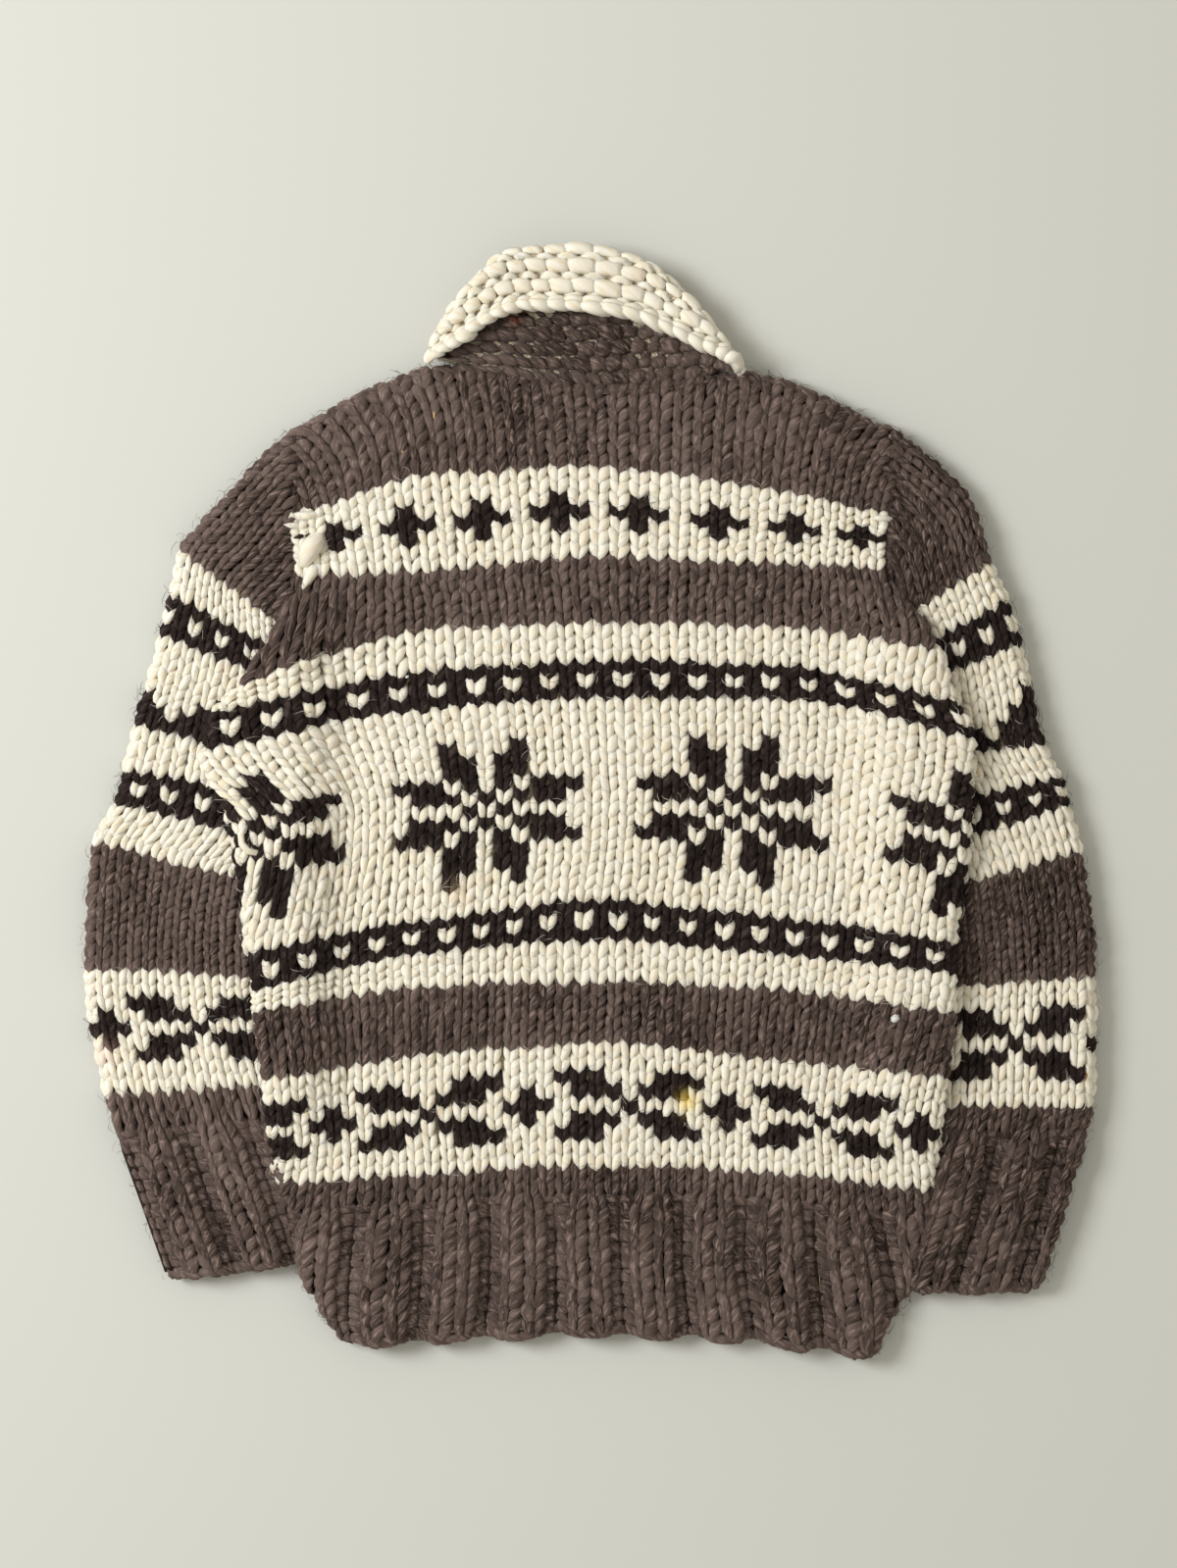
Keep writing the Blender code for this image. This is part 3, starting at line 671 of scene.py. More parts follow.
class Yarn:
    """Collects stitches of one yarn, to become one mesh."""

    def __init__(self, painted_light=0.0):
        self.parts, self.painted_light = [], painted_light

    def add(self, cloth, strand, wale, row, rng, depth, turn=0.0, size=1.0, loose=1.0, pitch=(WALE_MM, ROW_MM)):
        """Lays one strand at every (wale, row), each a little moved, turned and swollen by chance.

        A corner at (across, down, out) mm goes to wale + across / wale pitch, row + down / row pitch, lifted by out.
        """
        count = len(wale)
        if not count:
            return
        spun = 1 + unevenness(47, wale * 2.2, row * 0.7, 0.16)
        swell = (size * spun * (1 + rng.normal(0, 0.065, count) * loose))[:, None]
        angle = (turn + 0 * wale + np.radians(rng.normal(0, 4.0, count)) * loose)[:, None]
        shift = rng.normal(0, 0.33, (count, 3, 1)) * loose
        across, down, out = strand.points.T
        cos, sin = np.cos(angle), np.sin(angle)
        right = (across * cos - down * sin) * swell + shift[:, 0]
        below = (across * sin + down * cos) * swell + shift[:, 1]
        lift = (out * swell + shift[:, 2] - depth) * MM
        place = cloth.at(wale[:, None] + right / pitch[0], row[:, None] + below / pitch[1], lift)
        height = place[..., 2]
        place[..., 2] = np.where(height < REST, REST * (0.2 + 0.8 * np.exp((height / REST - 1) / 0.8)), height)
        offset = rng.uniform(0, 50, (count, 1, 3)) * (0.02, 0.02, 1)
        # painted light and shade: the tone is shifted by the piece's painted light offset (lighter left sleeve, darker
        # right sleeve), on top of random patches of tone
        patch = 0.5 + self.painted_light + unevenness(41, wale, row, 0.45) + unevenness(43, wale * 3, row * 0.6, 0.45)
        tone = np.broadcast_to((patch + rng.uniform(-0.3, 0.3, count))[:, None].clip(0, 1), lift.shape)
        self.parts.append((place, strand, strand.fibre + offset, tone))

    def build(self, name, material):
        """One mesh of all the collected strands, faces turned outwards by the sign of each batch's volume."""
        points, corners, sizes, fibres, tones, start = [], [], [], [], [], 0
        for place, strand, fibre, tone in self.parts:
            a, b, c = (place[:, strand.quads[:, k]] for k in (0, 1, 2))
            volume = np.einsum("ijk,ijk->", a, np.cross(b, c))
            flip = slice(None, None, -1 if volume < 0 else 1)
            first = (start + np.arange(len(place)) * place.shape[1])[:, None, None]
            for faces in (strand.quads, strand.tris):
                corners.append((first + faces[:, flip]).ravel())
                sizes.append(np.full(len(place) * len(faces), faces.shape[1]))
            points.append(place.reshape(-1, 3))
            fibres.append(fibre.reshape(-1, 3))
            tones.append(tone.ravel())
            start += place.shape[0] * place.shape[1]
        points, fibres = np.concatenate(points), np.concatenate(fibres)
        piece = add_mesh(name, points, np.concatenate(corners), np.concatenate(sizes), material)
        store(piece, "fibre", "FLOAT_VECTOR", "vector", fibres)
        store(piece, "tone", "FLOAT", "value", np.concatenate(tones))
        store(piece, "mark", "FLOAT_COLOR", "color", marks_at(points))
        return piece


def add_mesh(name, points, corners, sizes, material):
    mesh = bpy.data.meshes.new(name)
    mesh.vertices.add(len(points))
    mesh.vertices.foreach_set("co", np.ascontiguousarray(points, np.float32).ravel())
    mesh.loops.add(len(corners))
    mesh.loops.foreach_set("vertex_index", corners.astype(np.int32))
    mesh.polygons.add(len(sizes))
    mesh.polygons.foreach_set("loop_start", (np.cumsum(sizes) - sizes).astype(np.int32))
    mesh.update(calc_edges=True)
    mesh.shade_smooth()
    mesh.materials.append(material)
    piece = bpy.data.objects.new(name, mesh)
    bpy.context.scene.collection.objects.link(piece)
    return piece


def store(piece, name, kind, key, values):
    layer = piece.data.attributes.new(name, kind, "POINT")
    layer.data.foreach_set(key, np.ascontiguousarray(values, np.float32).ravel())


# Odd stitches on the back, where yarns were joined in or caught: strand, place, turn and size
ODD_STITCHES = (
    {"yarn": "cream", "strand": "RIGHT", "wale": -16.0, "row": 11.2, "turn": 0.1, "size": 2.5, "lift": 1.0},
    {"yarn": "cream", "strand": "RIGHT", "wale": -15.9, "row": 13.7, "turn": 0.2, "size": 1.4, "lift": 1.0},
    {"yarn": "cream", "strand": "LEFT", "wale": -15.4, "row": 7.3, "turn": -1.2, "size": 1.35, "lift": 1.0},
    {"yarn": "cream", "strand": "LEFT", "wale": -16.2, "row": 8.2, "turn": -0.9, "size": 1.1, "lift": 0.5},
    {"yarn": "cream", "strand": "RIGHT", "wale": 15.2, "row": 7.4, "turn": 1.1, "size": 1.15, "lift": 1.0},
    {"yarn": "cream", "strand": "LEFT", "wale": 15.6, "row": 9.0, "turn": 0.3, "size": 1.1, "lift": 1.0},
    {"yarn": "dark", "strand": "RIGHT", "wale": -16.0, "row": 9.7, "turn": 0.9, "size": 0.9, "lift": 1.5},
    {"yarn": "dark", "strand": "LEFT", "wale": -15.6, "row": 10.4, "turn": -1.1, "size": 0.75, "lift": 1.5},
    {"yarn": "cream", "strand": "FLOAT", "wale": -21.6, "row": 33.6, "turn": 0.0, "size": 1.3, "lift": 2.2},
)
# Bits caught in the wool: panel, material, strand, place, turn, size, and height over the cloth
CAUGHT = (
    {"panel": "back", "what": "straw", "wale": -7.9, "row": 3.2, "turn": 0.1, "size": 1.3},
    {"panel": "back", "what": "straw", "wale": -9.8, "row": 5.2, "turn": -0.5, "size": 1.0},
    {"panel": "back", "what": "straw", "wale": -4.9, "row": 3.7, "turn": 0.6, "size": 0.7},
    {"panel": "back", "what": "straw", "wale": 13.7, "row": 69.0, "turn": 0.15, "size": 1.0},
    {"panel": "back", "what": "lint", "wale": 17.3, "row": 48.2, "turn": 0.0, "size": 1.1},
    {"panel": "back", "what": "lint", "wale": -10.5, "row": 22.3, "turn": 0.8, "size": 0.5},
    {"panel": "sleeve_right", "what": "rust", "wale": -0.9, "row": 38.6, "turn": 0.2, "size": 1.2},
)
CAUGHT_COLOURS = {"straw": (0.55, 0.38, 0.17), "lint": (0.72, 0.73, 0.70), "rust": (0.75, 0.22, 0.03)}

# Small stains in the cream: place in mm, radius in mm, colour
STAINS = (
    {"x": 63, "y": -198, "radius": 6, "colour": (0.9, 0.66, 0.12), "strength": 0.75},
    {"x": -319, "y": -167, "radius": 8, "colour": (0.84, 0.55, 0.44), "strength": 0.35},
    {"x": 30, "y": 341, "radius": 2.2, "colour": (0.8, 0.3, 0.05), "strength": 0.9},
    {"x": -50, "y": 312, "radius": 3, "colour": (0.4, 0.09, 0.04), "strength": 0.7},
    {"x": -85, "y": -62, "radius": 8, "colour": (0.72, 0.5, 0.3), "strength": 0.3},
)


def marks_at(points):
    """Colour and strength of the stains at each point: the strongest, as a bell over the distance in plan."""
    best = np.zeros((len(points), 4))
    best[:, :3] = 0.8
    for stain in STAINS:
        gap = np.hypot(points[:, 0] - stain["x"] * MM, points[:, 1] - stain["y"] * MM)
        strength = stain["strength"] * np.exp(-((gap / (stain["radius"] * MM)) ** 2))
        stronger = strength > best[:, 3]
        best[stronger, :3] = stain["colour"]
        best[stronger, 3] = strength[stronger]
    return best


def chart_yarns(wale, row, grounds, motifs):
    """Yarn of every stitch: the last stripe that has begun, then each motif's chart repeated along its rows."""
    wale, row = np.round(wale).astype(int), np.floor(row).astype(int)
    yarn = np.zeros(wale.shape, int)
    for first, colour in grounds:
        yarn = np.where(row >= first, colour, yarn)
    for motif in motifs:
        chart = np.array([[c == "X" for c in line] for line in motif["chart"]])
        line = row - motif["row"]
        column = (wale - motif["wale"] + motif["at"]) % motif["repeat"]
        inside = (line >= 0) & (line < chart.shape[0]) & (column < chart.shape[1])
        marked = chart[np.clip(line, 0, chart.shape[0] - 1), np.clip(column, 0, chart.shape[1] - 1)]
        yarn = np.where(inside & marked, motif["yarn"], yarn)
    return yarn


def every_stitch(wales, rows):
    wale, row = np.meshgrid(wales, rows)
    return wale.ravel().astype(float), row.ravel().astype(float)


def is_purl(wale, row, panel):
    start = BODY_RIB_ROW if panel == "body" else SLEEVE_RIB_ROW
    return (rib_phase(wale, panel) > 0) & (row > start)


def add_hairs(yarn, cloth, wale, row, rng, count):
    """Loose fibres strewn round each stitch, turned any way."""
    for hair, share in zip(LOOSE, (1.0, 0.5)):
        chosen = np.repeat(np.arange(len(wale)), count)
        chosen = chosen[rng.uniform(0, 1, len(chosen)) < share]
        around = rng.uniform(-0.6, 0.6, (2, len(chosen)))
        turn = rng.uniform(0, math.tau, len(chosen))
        yarn.add(cloth, hair, wale[chosen] + around[0], row[chosen] + around[1], rng, -HAIR_LIFT, turn=turn, loose=2.0)


def knit(cloth, wale, row, yarn, panel, seed, hidden=False, painted_light=0.0):
    """Yarns by name, filled with the stitches of one piece: V stitches, and purl bumps in the valleys of the rib."""
    rng = np.random.default_rng(seed)
    yarns = {name: Yarn(painted_light) for name in YARNS}
    plump = bpy.context.scene.sweater_yarn.plumpness
    purl = is_purl(wale, row, panel)
    depth = HIDDEN_DEPTH if hidden else YARN_DEPTH
    for index, name in enumerate(YARNS):
        stitches = (yarn == index) & ~purl
        here = (wale[stitches], row[stitches])
        size = plump * {"brown": 1.0, "cream": 1.03, "dark": 0.98}[name]
        if hidden:
            yarns[name].add(cloth, HIDDEN_RIGHT, *here, rng, depth, size=size)
            yarns[name].add(cloth, HIDDEN_LEFT, *here, rng, depth, size=size)
            continue
        yarns[name].add(cloth, LEFT, *here, rng, depth, size=size)
        yarns[name].add(cloth, RIGHT, *here, rng, depth, size=size)
        add_hairs(yarns[name], cloth, *here, rng, HAIRS_ON[name])
    bumps = (wale[purl], row[purl])
    if hidden:
        yarns["brown"].add(cloth, HIDDEN_RIGHT, *bumps, rng, depth, turn=math.pi / 2, size=plump)
    else:
        yarns["brown"].add(cloth, BUMP, *bumps, rng, depth, size=0.95 * plump)
        add_hairs(yarns["brown"], cloth, *bumps, rng, 2)
        yarns["brown"].add(cloth, BUMP, bumps[0], bumps[1] + 0.5, rng, depth + 0.5, turn=math.pi, size=0.9 * plump)
    return yarns


LEFT = Strand(LEFT_LEG, SIDES)
RIGHT = Strand(RIGHT_LEG, SIDES)
HIDDEN_RIGHT = Strand(HIDDEN_LEG, HIDDEN_SIDES)
HIDDEN_LEFT = Strand(HIDDEN_LEG, HIDDEN_SIDES, mirror=True)
BUMP = Strand(PURL, SIDES)
RIDGE = Strand(GARTER, SIDES)
BETWEEN = Strand(GARTER_BETWEEN, SIDES)
ARCH = Strand(GARTER_ARCH, SIDES)
EDGE = Strand(CAST_ON, SIDES)
LOOSE = tuple(Strand(hair, 3) for hair in HAIRS)
ODD = {"LEFT": LEFT, "RIGHT": RIGHT, "FLOAT": Strand(FREE_LOOP, SIDES)}
BITS = {"straw": Strand(STALK, 5), "rust": Strand(STALK, 5), "lint": Strand(BALL, SIDES)}


def add_odd_stitches(cloth, yarns, rng):
    for odd in ODD_STITCHES:
        place = np.array([[odd["wale"]], [odd["row"]]])
        yarns[odd["yarn"]].add(
            cloth, ODD[odd["strand"]], *place, rng, YARN_DEPTH - odd["lift"], turn=odd["turn"], size=odd["size"], loose=0
        )


def caught_bits(panel, cloth, rng):
    """The bits of straw, rust-coloured fibre and lint caught in one panel, a piece for each kind."""
    made = []
    for what, colour in CAUGHT_COLOURS.items():
        bits = [bit for bit in CAUGHT if bit["panel"] == panel and bit["what"] == what]
        if not bits:
            continue
        caught = Yarn()
        for bit in bits:
            place = np.array([[bit["wale"]], [bit["row"]]])
            caught.add(cloth, BITS[what], *place, rng, -0.6, turn=bit["turn"], size=bit["size"], loose=0)
        material, shader = new_material(what)
        shader.inputs["Base Color"].default_value = (*colour, 1)
        piece = caught.build(f"{panel}_{what}", material)
        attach(piece, "root")
        made.append(piece)
    return made


def finish_pieces(panel, yarns):
    """Builds one object for each yarn that the piece uses; each rides on the body."""
    made = []
    for name, yarn in yarns.items():
        if not yarn.parts:
            continue
        piece = yarn.build(f"{panel}_knit_{name}", yarn_material(name))
        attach(piece, "root")
        made.append(piece)
    return made


def shell(node, rounds, grounds_at):
    """A thin shell on a solid's own form: its skin moved in from both sides of the wall, then refined.

    Each vertex moves against the mean of its faces' directions, weighted by area; refining halves every edge.
    """
    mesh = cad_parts[node].data
    mesh.calc_loop_triangles()
    points = np.zeros(len(mesh.vertices) * 3, np.float32)
    mesh.vertices.foreach_get("co", points)
    faces = np.zeros(len(mesh.loop_triangles) * 3, np.int32)
    mesh.loop_triangles.foreach_get("vertices", faces)
    points, index = np.unique(np.round(points.reshape(-1, 3), 6), axis=0, return_inverse=True)
    faces = index.reshape(-1)[faces].reshape(-1, 3)
    faces = faces[(faces[:, 0] != faces[:, 1]) & (faces[:, 1] != faces[:, 2]) & (faces[:, 2] != faces[:, 0])]
    a, b, c = (points[faces[:, k]] for k in range(3))
    normal = np.cross(b - a, c - a)
    out = np.zeros_like(points)
    for k in range(3):
        np.add.at(out, faces[:, k], normal)
    out /= np.maximum(np.linalg.norm(out, axis=1, keepdims=True), 1e-12)
    inset = mix(SHELL_INSETS["side"], SHELL_INSETS["up"], ease((out[:, 2:] - 0.4) * 2))
    inset = mix(inset, SHELL_INSETS["down"], ease(-out[:, 2:] * 2))
    points = points - inset * out
    points[:, 2] = np.maximum(points[:, 2], LEAST_HEIGHT)
    for _ in range(rounds):
        edges = np.sort(np.concatenate([faces[:, [0, 1]], faces[:, [1, 2]], faces[:, [2, 0]]]), axis=1)
        edges, middle = np.unique(edges, axis=0, return_inverse=True)
        middle = middle.reshape(3, -1) + len(points)
        points = np.concatenate([points, points[edges].mean(axis=1)])
        a, b, c, ab, bc, ca = *faces.T, *middle
        faces = np.concatenate([np.stack(f, 1) for f in ((a, ab, ca), (ab, b, bc), (ca, bc, c), (ab, bc, ca))])
    # the shell's material is painted shade between the stitches
    piece = add_mesh(node + "_cloth", points, faces.ravel(), np.full(len(faces), 3), backing_material())
    store(piece, "ground", "FLOAT", "value", grounds_at(points))
    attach(piece, "root")
    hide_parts(node)
    return piece


def body_ground(points):
    """1 where the stripe is cream, by height between the rows of the body's middle line."""
    rows = np.arange(-1, HEM_ROW + 1, 0.5)
    row = np.interp(-points[:, 1], -body_line(rows, "middle_y"), rows)
    for _ in range(4):
        left_x, right_x = body_line(row, "left_x"), body_line(row, "right_x")
        across = np.clip(2 * (points[:, 0] - left_x) / (right_x - left_x) - 1, -1, 1)
        heights = np.stack([body_line(row, name) for name in BODY_COLUMNS[3:]], axis=-1)
        row = row + (through(across[:, None], BODY_STATIONS, heights)[:, 0] - points[:, 1]) / (ROW_MM * MM)
    return (chart_yarns(0 * row, row, BODY_GROUNDS, ()) == CREAM) * 1.0


def sleeve_ground(side):
    def at(points):
        rows = np.arange(SLEEVE_TOP_ROW, CUFF_ROW + 1, 0.5)
        middle = (sleeve_line(rows, side, "outer_y") + sleeve_line(rows, side, "inner_y")) / 2 * MM
        row = np.interp(-points[:, 1], -middle, rows)
        return (chart_yarns(0 * row, row, SLEEVE_GROUNDS, ()) == CREAM) * 1.0

    return at


def collar_ground(points):
    """1 where the collar is cream: its turned-over part, and the front halves below; the stand between is brown."""
    height = points[:, 2]
    return 1.0 * ((height > 2 * FOLD + STAND_RISE + 1 * MM) | (height < 2 * FOLD - 1 * MM))


# Materials


def fibre_group():
    """Wool's fibres as a node group: streaks along the strand, from noise that is far finer across it than along."""
    group = bpy.data.node_groups.get("Wool fibres")
    if group:
        return group
    group = bpy.data.node_groups.new("Wool fibres", "ShaderNodeTree")
    for name, default in (("Across", 3.0), ("Along", 1.0), ("Contrast", 1.0)):
        group.interface.new_socket(name=name, in_out="INPUT", socket_type="NodeSocketFloat").default_value = default
    for name in ("Streak", "Clump", "Height"):
        group.interface.new_socket(name=name, in_out="OUTPUT", socket_type="NodeSocketFloat")
    nodes, links = group.nodes, group.links
    ins, outs = nodes.new("NodeGroupInput"), nodes.new("NodeGroupOutput")
    fibre = nodes.new("ShaderNodeAttribute")
    fibre.attribute_name = "fibre"
    split = nodes.new("ShaderNodeSeparateXYZ")
    links.new(fibre.outputs["Vector"], split.inputs[0])

    def scaled(socket, factor_socket, extra):
        first = nodes.new("ShaderNodeMath")
        first.operation = "MULTIPLY"
        links.new(socket, first.inputs[0])
        links.new(factor_socket, first.inputs[1])
        second = nodes.new("ShaderNodeMath")
        second.operation = "MULTIPLY"
        links.new(first.outputs[0], second.inputs[0])
        second.inputs[1].default_value = extra
        return second.outputs[0]

    def noise(extra_across, extra_along, detail):
        join = nodes.new("ShaderNodeCombineXYZ")
        for axis, (factor, extra) in enumerate(
            (("Across", extra_across), ("Across", extra_across), ("Along", extra_along))
        ):
            links.new(scaled(split.outputs[axis], ins.outputs[factor], extra), join.inputs[axis])
        made = nodes.new("ShaderNodeTexNoise")
        made.inputs["Scale"].default_value = 1
        made.inputs["Detail"].default_value = detail
        links.new(join.outputs[0], made.inputs["Vector"])
        return made.outputs["Fac"]

    fine, coarse = noise(1.0, 1.0, 2.0), noise(0.32, 0.6, 1.0)
    spread = nodes.new("ShaderNodeMapRange")
    spread.inputs["From Min"].default_value = 0.34
    spread.inputs["From Max"].default_value = 0.66
    links.new(fine, spread.inputs["Value"])
    links.new(spread.outputs[0], outs.inputs["Streak"])
    clump = nodes.new("ShaderNodeMapRange")
    clump.inputs["From Min"].default_value = 0.36
    clump.inputs["From Max"].default_value = 0.64
    links.new(coarse, clump.inputs["Value"])
    links.new(clump.outputs[0], outs.inputs["Clump"])
    height = nodes.new("ShaderNodeMath")
    height.operation = "MULTIPLY"
    links.new(fine, height.inputs[0])
    links.new(ins.outputs["Contrast"], height.inputs[1])
    links.new(height.outputs[0], outs.inputs["Height"])
    return group


def new_material(name):
    material = bpy.data.materials.new(name)
    material.use_nodes = True
    shader = material.node_tree.nodes["Principled BSDF"]
    shader.inputs["Roughness"].default_value = 0.92
    shader.inputs["Specular IOR Level"].default_value = 0.18
    shader.inputs["Sheen Roughness"].default_value = 0.55
    return material, shader


def colour_mix(material, first, second, factor=None, share=0.5, blend="MIX"):
    """A Mix node of two colours or sockets; returns its colour output."""
    node = material.node_tree.nodes.new("ShaderNodeMix")
    node.data_type, node.blend_type = "RGBA", blend
    node.inputs["Factor"].default_value = share
    if factor is not None:
        material.node_tree.links.new(factor, node.inputs["Factor"])
    for key, value in ((6, first), (7, second)):
        if isinstance(value, bpy.types.NodeSocket):
            material.node_tree.links.new(value, node.inputs[key])
        else:
            node.inputs[key].default_value = (*value, 1)
    return node.outputs[2]


def map_range(material, socket, low, high, to_low=0.0, to_high=1.0):
    node = material.node_tree.nodes.new("ShaderNodeMapRange")
    for key, value in (("From Min", low), ("From Max", high), ("To Min", to_low), ("To Max", to_high)):
        node.inputs[key].default_value = value
    material.node_tree.links.new(socket, node.inputs["Value"])
    return node.outputs[0]


def attribute(material, name, output="Fac"):
    node = material.node_tree.nodes.new("ShaderNodeAttribute")
    node.attribute_name = name
    return node.outputs[output]


# Finish of each yarn: fineness of its fibres, how much streaks and tones differ, bump, sheen
YARN_FINISH = {
    "brown": {"across": 2.0, "along": 1.4, "streak": 1.0, "tone": 0.9, "bump": 0.9, "sheen": 0.5, "glow": 0.0},
    "cream": {"across": 1.0, "along": 0.8, "streak": 0.5, "tone": 0.5, "bump": 0.5, "sheen": 0.2, "glow": 0.35},
    "dark": {"across": 1.1, "along": 1.0, "streak": 0.9, "tone": 0.35, "bump": 0.9, "sheen": 0.25, "glow": 0.0},
}


def yarn_material(name):
    """A wool: shade, body and light fibre colours mixed by the streaks, toned stitch by stitch, then stained."""
    if bpy.data.materials.get(name + "_yarn"):
        return bpy.data.materials[name + "_yarn"]
    settings = bpy.context.scene.sweater_yarn
    finish = YARN_FINISH[name]
    material, shader = new_material(name + "_yarn")
    nodes, links = material.node_tree.nodes, material.node_tree.links
    fibres = nodes.new("ShaderNodeGroup")
    fibres.node_tree = fibre_group()
    for key, value in (("Across", finish["across"]), ("Along", finish["along"]), ("Contrast", 1.0)):
        fibres.inputs[key].default_value = value
    body, shade, light = (tuple(getattr(settings, f"{name}_{kind}")) for kind in ("body", "shade", "light"))
    low = map_range(material, fibres.outputs["Streak"], 0.0, 0.5)
    high = map_range(material, fibres.outputs["Streak"], 0.5, 1.0, 0.0, finish["streak"])
    colour = colour_mix(material, shade, body, low)
    colour = colour_mix(material, colour, light, high)
    clumped = map_range(material, fibres.outputs["Clump"], 0, 1, 0.0, finish["streak"] * 0.6)
    colour = colour_mix(material, colour, shade, clumped)
    # the tone holds random patch and stitch tones, plus each sleeve's painted light and shade
    toned = map_range(material, attribute(material, "tone"), 0, 1, 0, finish["tone"] * 0.5)
    colour = colour_mix(material, colour, light, toned)
    colour = colour_mix(material, colour, attribute(material, "mark", "Color"), attribute(material, "mark", "Alpha"))
    links.new(colour, shader.inputs["Base Color"])
    bump = nodes.new("ShaderNodeBump")
    bump.inputs["Strength"].default_value = finish["bump"]
    bump.inputs["Distance"].default_value = 0.6 * MM
    links.new(fibres.outputs["Height"], bump.inputs["Height"])
    links.new(bump.outputs["Normal"], shader.inputs["Normal"])
    shader.inputs["Sheen Weight"].default_value = finish["sheen"]
    shader.inputs["Subsurface Weight"].default_value = finish["glow"]
    shader.inputs["Subsurface Scale"].default_value = 3 * MM
    shader.inputs["Subsurface Radius"].default_value = (1.0, 0.8, 0.55)
    shader.inputs["Sheen Tint"].default_value = (*light, 1)
    return material


def backing_material():
    """The cloth behind the stitches, coloured as painted shade between them: the wools' shade colours, cream or brown
    by the stripe in front of it, darkened by fine noise towards near-black.
    """
    if bpy.data.materials.get("backing_cloth"):
        return bpy.data.materials["backing_cloth"]
    settings = bpy.context.scene.sweater_yarn
    material, shader = new_material("backing_cloth")
    nodes, links = material.node_tree.nodes, material.node_tree.links
    place = nodes.new("ShaderNodeTexCoord")
    painted_shade_noise = nodes.new("ShaderNodeTexNoise")
    painted_shade_noise.inputs["Scale"].default_value = 900
    links.new(place.outputs["Object"], painted_shade_noise.inputs["Vector"])
    # painted shade: the brown or cream shade colour, by the stripe in front
    colour = colour_mix(material, settings.brown_shade, settings.cream_shade, attribute(material, "ground"))
    # painted shade: fine noise darkens the backing towards near-black (0.02, 0.014, 0.01), keeping between 35% and all
    # of its colour
    streak = map_range(material, painted_shade_noise.outputs["Fac"], 0.35, 0.65, 0.35, 1.0)
    colour = colour_mix(material, (0.02, 0.014, 0.01), colour, streak)
    links.new(colour, shader.inputs["Base Color"])
    return material


# Settings


def colour_setting(name, description, default):
    return FloatVectorProperty(name=name, description=description, subtype="COLOR", size=3, min=0, max=1, default=default)


class SweaterYarn(PropertyGroup):
    brown_body: colour_setting("Brown", "Main colour of the brown heather", (0.062, 0.040, 0.032))
    # brown_shade and cream_shade also colour the backing cloth, where they are painted shade between the stitches
    brown_shade: colour_setting("Brown shade", "Darkest fibres of the brown heather", (0.018, 0.011, 0.009))
    brown_light: colour_setting("Brown light", "Palest fibres of the brown heather", (0.265, 0.198, 0.174))
    cream_body: colour_setting("Cream", "Main colour of the undyed cream", (0.83, 0.79, 0.69))
    cream_shade: colour_setting("Cream shade", "Deepest colour between the cream's fibres", (0.76, 0.67, 0.50))
    cream_light: colour_setting("Cream light", "Palest fibres of the cream", (0.90, 0.87, 0.79))
    dark_body: colour_setting("Dark", "Main colour of the blackish brown", (0.020, 0.011, 0.0095))
    dark_shade: colour_setting("Dark shade", "Darkest fibres of the blackish brown", (0.008, 0.005, 0.004))
    dark_light: colour_setting("Dark light", "Palest fibres of the blackish brown", (0.070, 0.050, 0.046))
    plumpness: FloatProperty(
        name="Plumpness", description="How full the yarn is", default=1.0, min=0.7, max=1.3, subtype="FACTOR"
    )
    seed: IntProperty(name="Seed", description="Picks the stitches' small differences", default=4, min=0)


class SweaterStage(PropertyGroup):
    floor: colour_setting("Floor", "Colour of the plain floor", (0.63, 0.638, 0.60))
    key_power: FloatProperty(name="Key light", description="Power of the large soft light", default=66, unit="POWER")
    fill: FloatProperty(name="Fill", description="Strength of the light from all round", default=0.55, min=0)
    height: FloatProperty(name="Camera height", description="Above the floor", default=2.6, unit="LENGTH")
    width: FloatProperty(name="View width", description="Width of floor in view", default=0.768, unit="LENGTH")


# Pieces


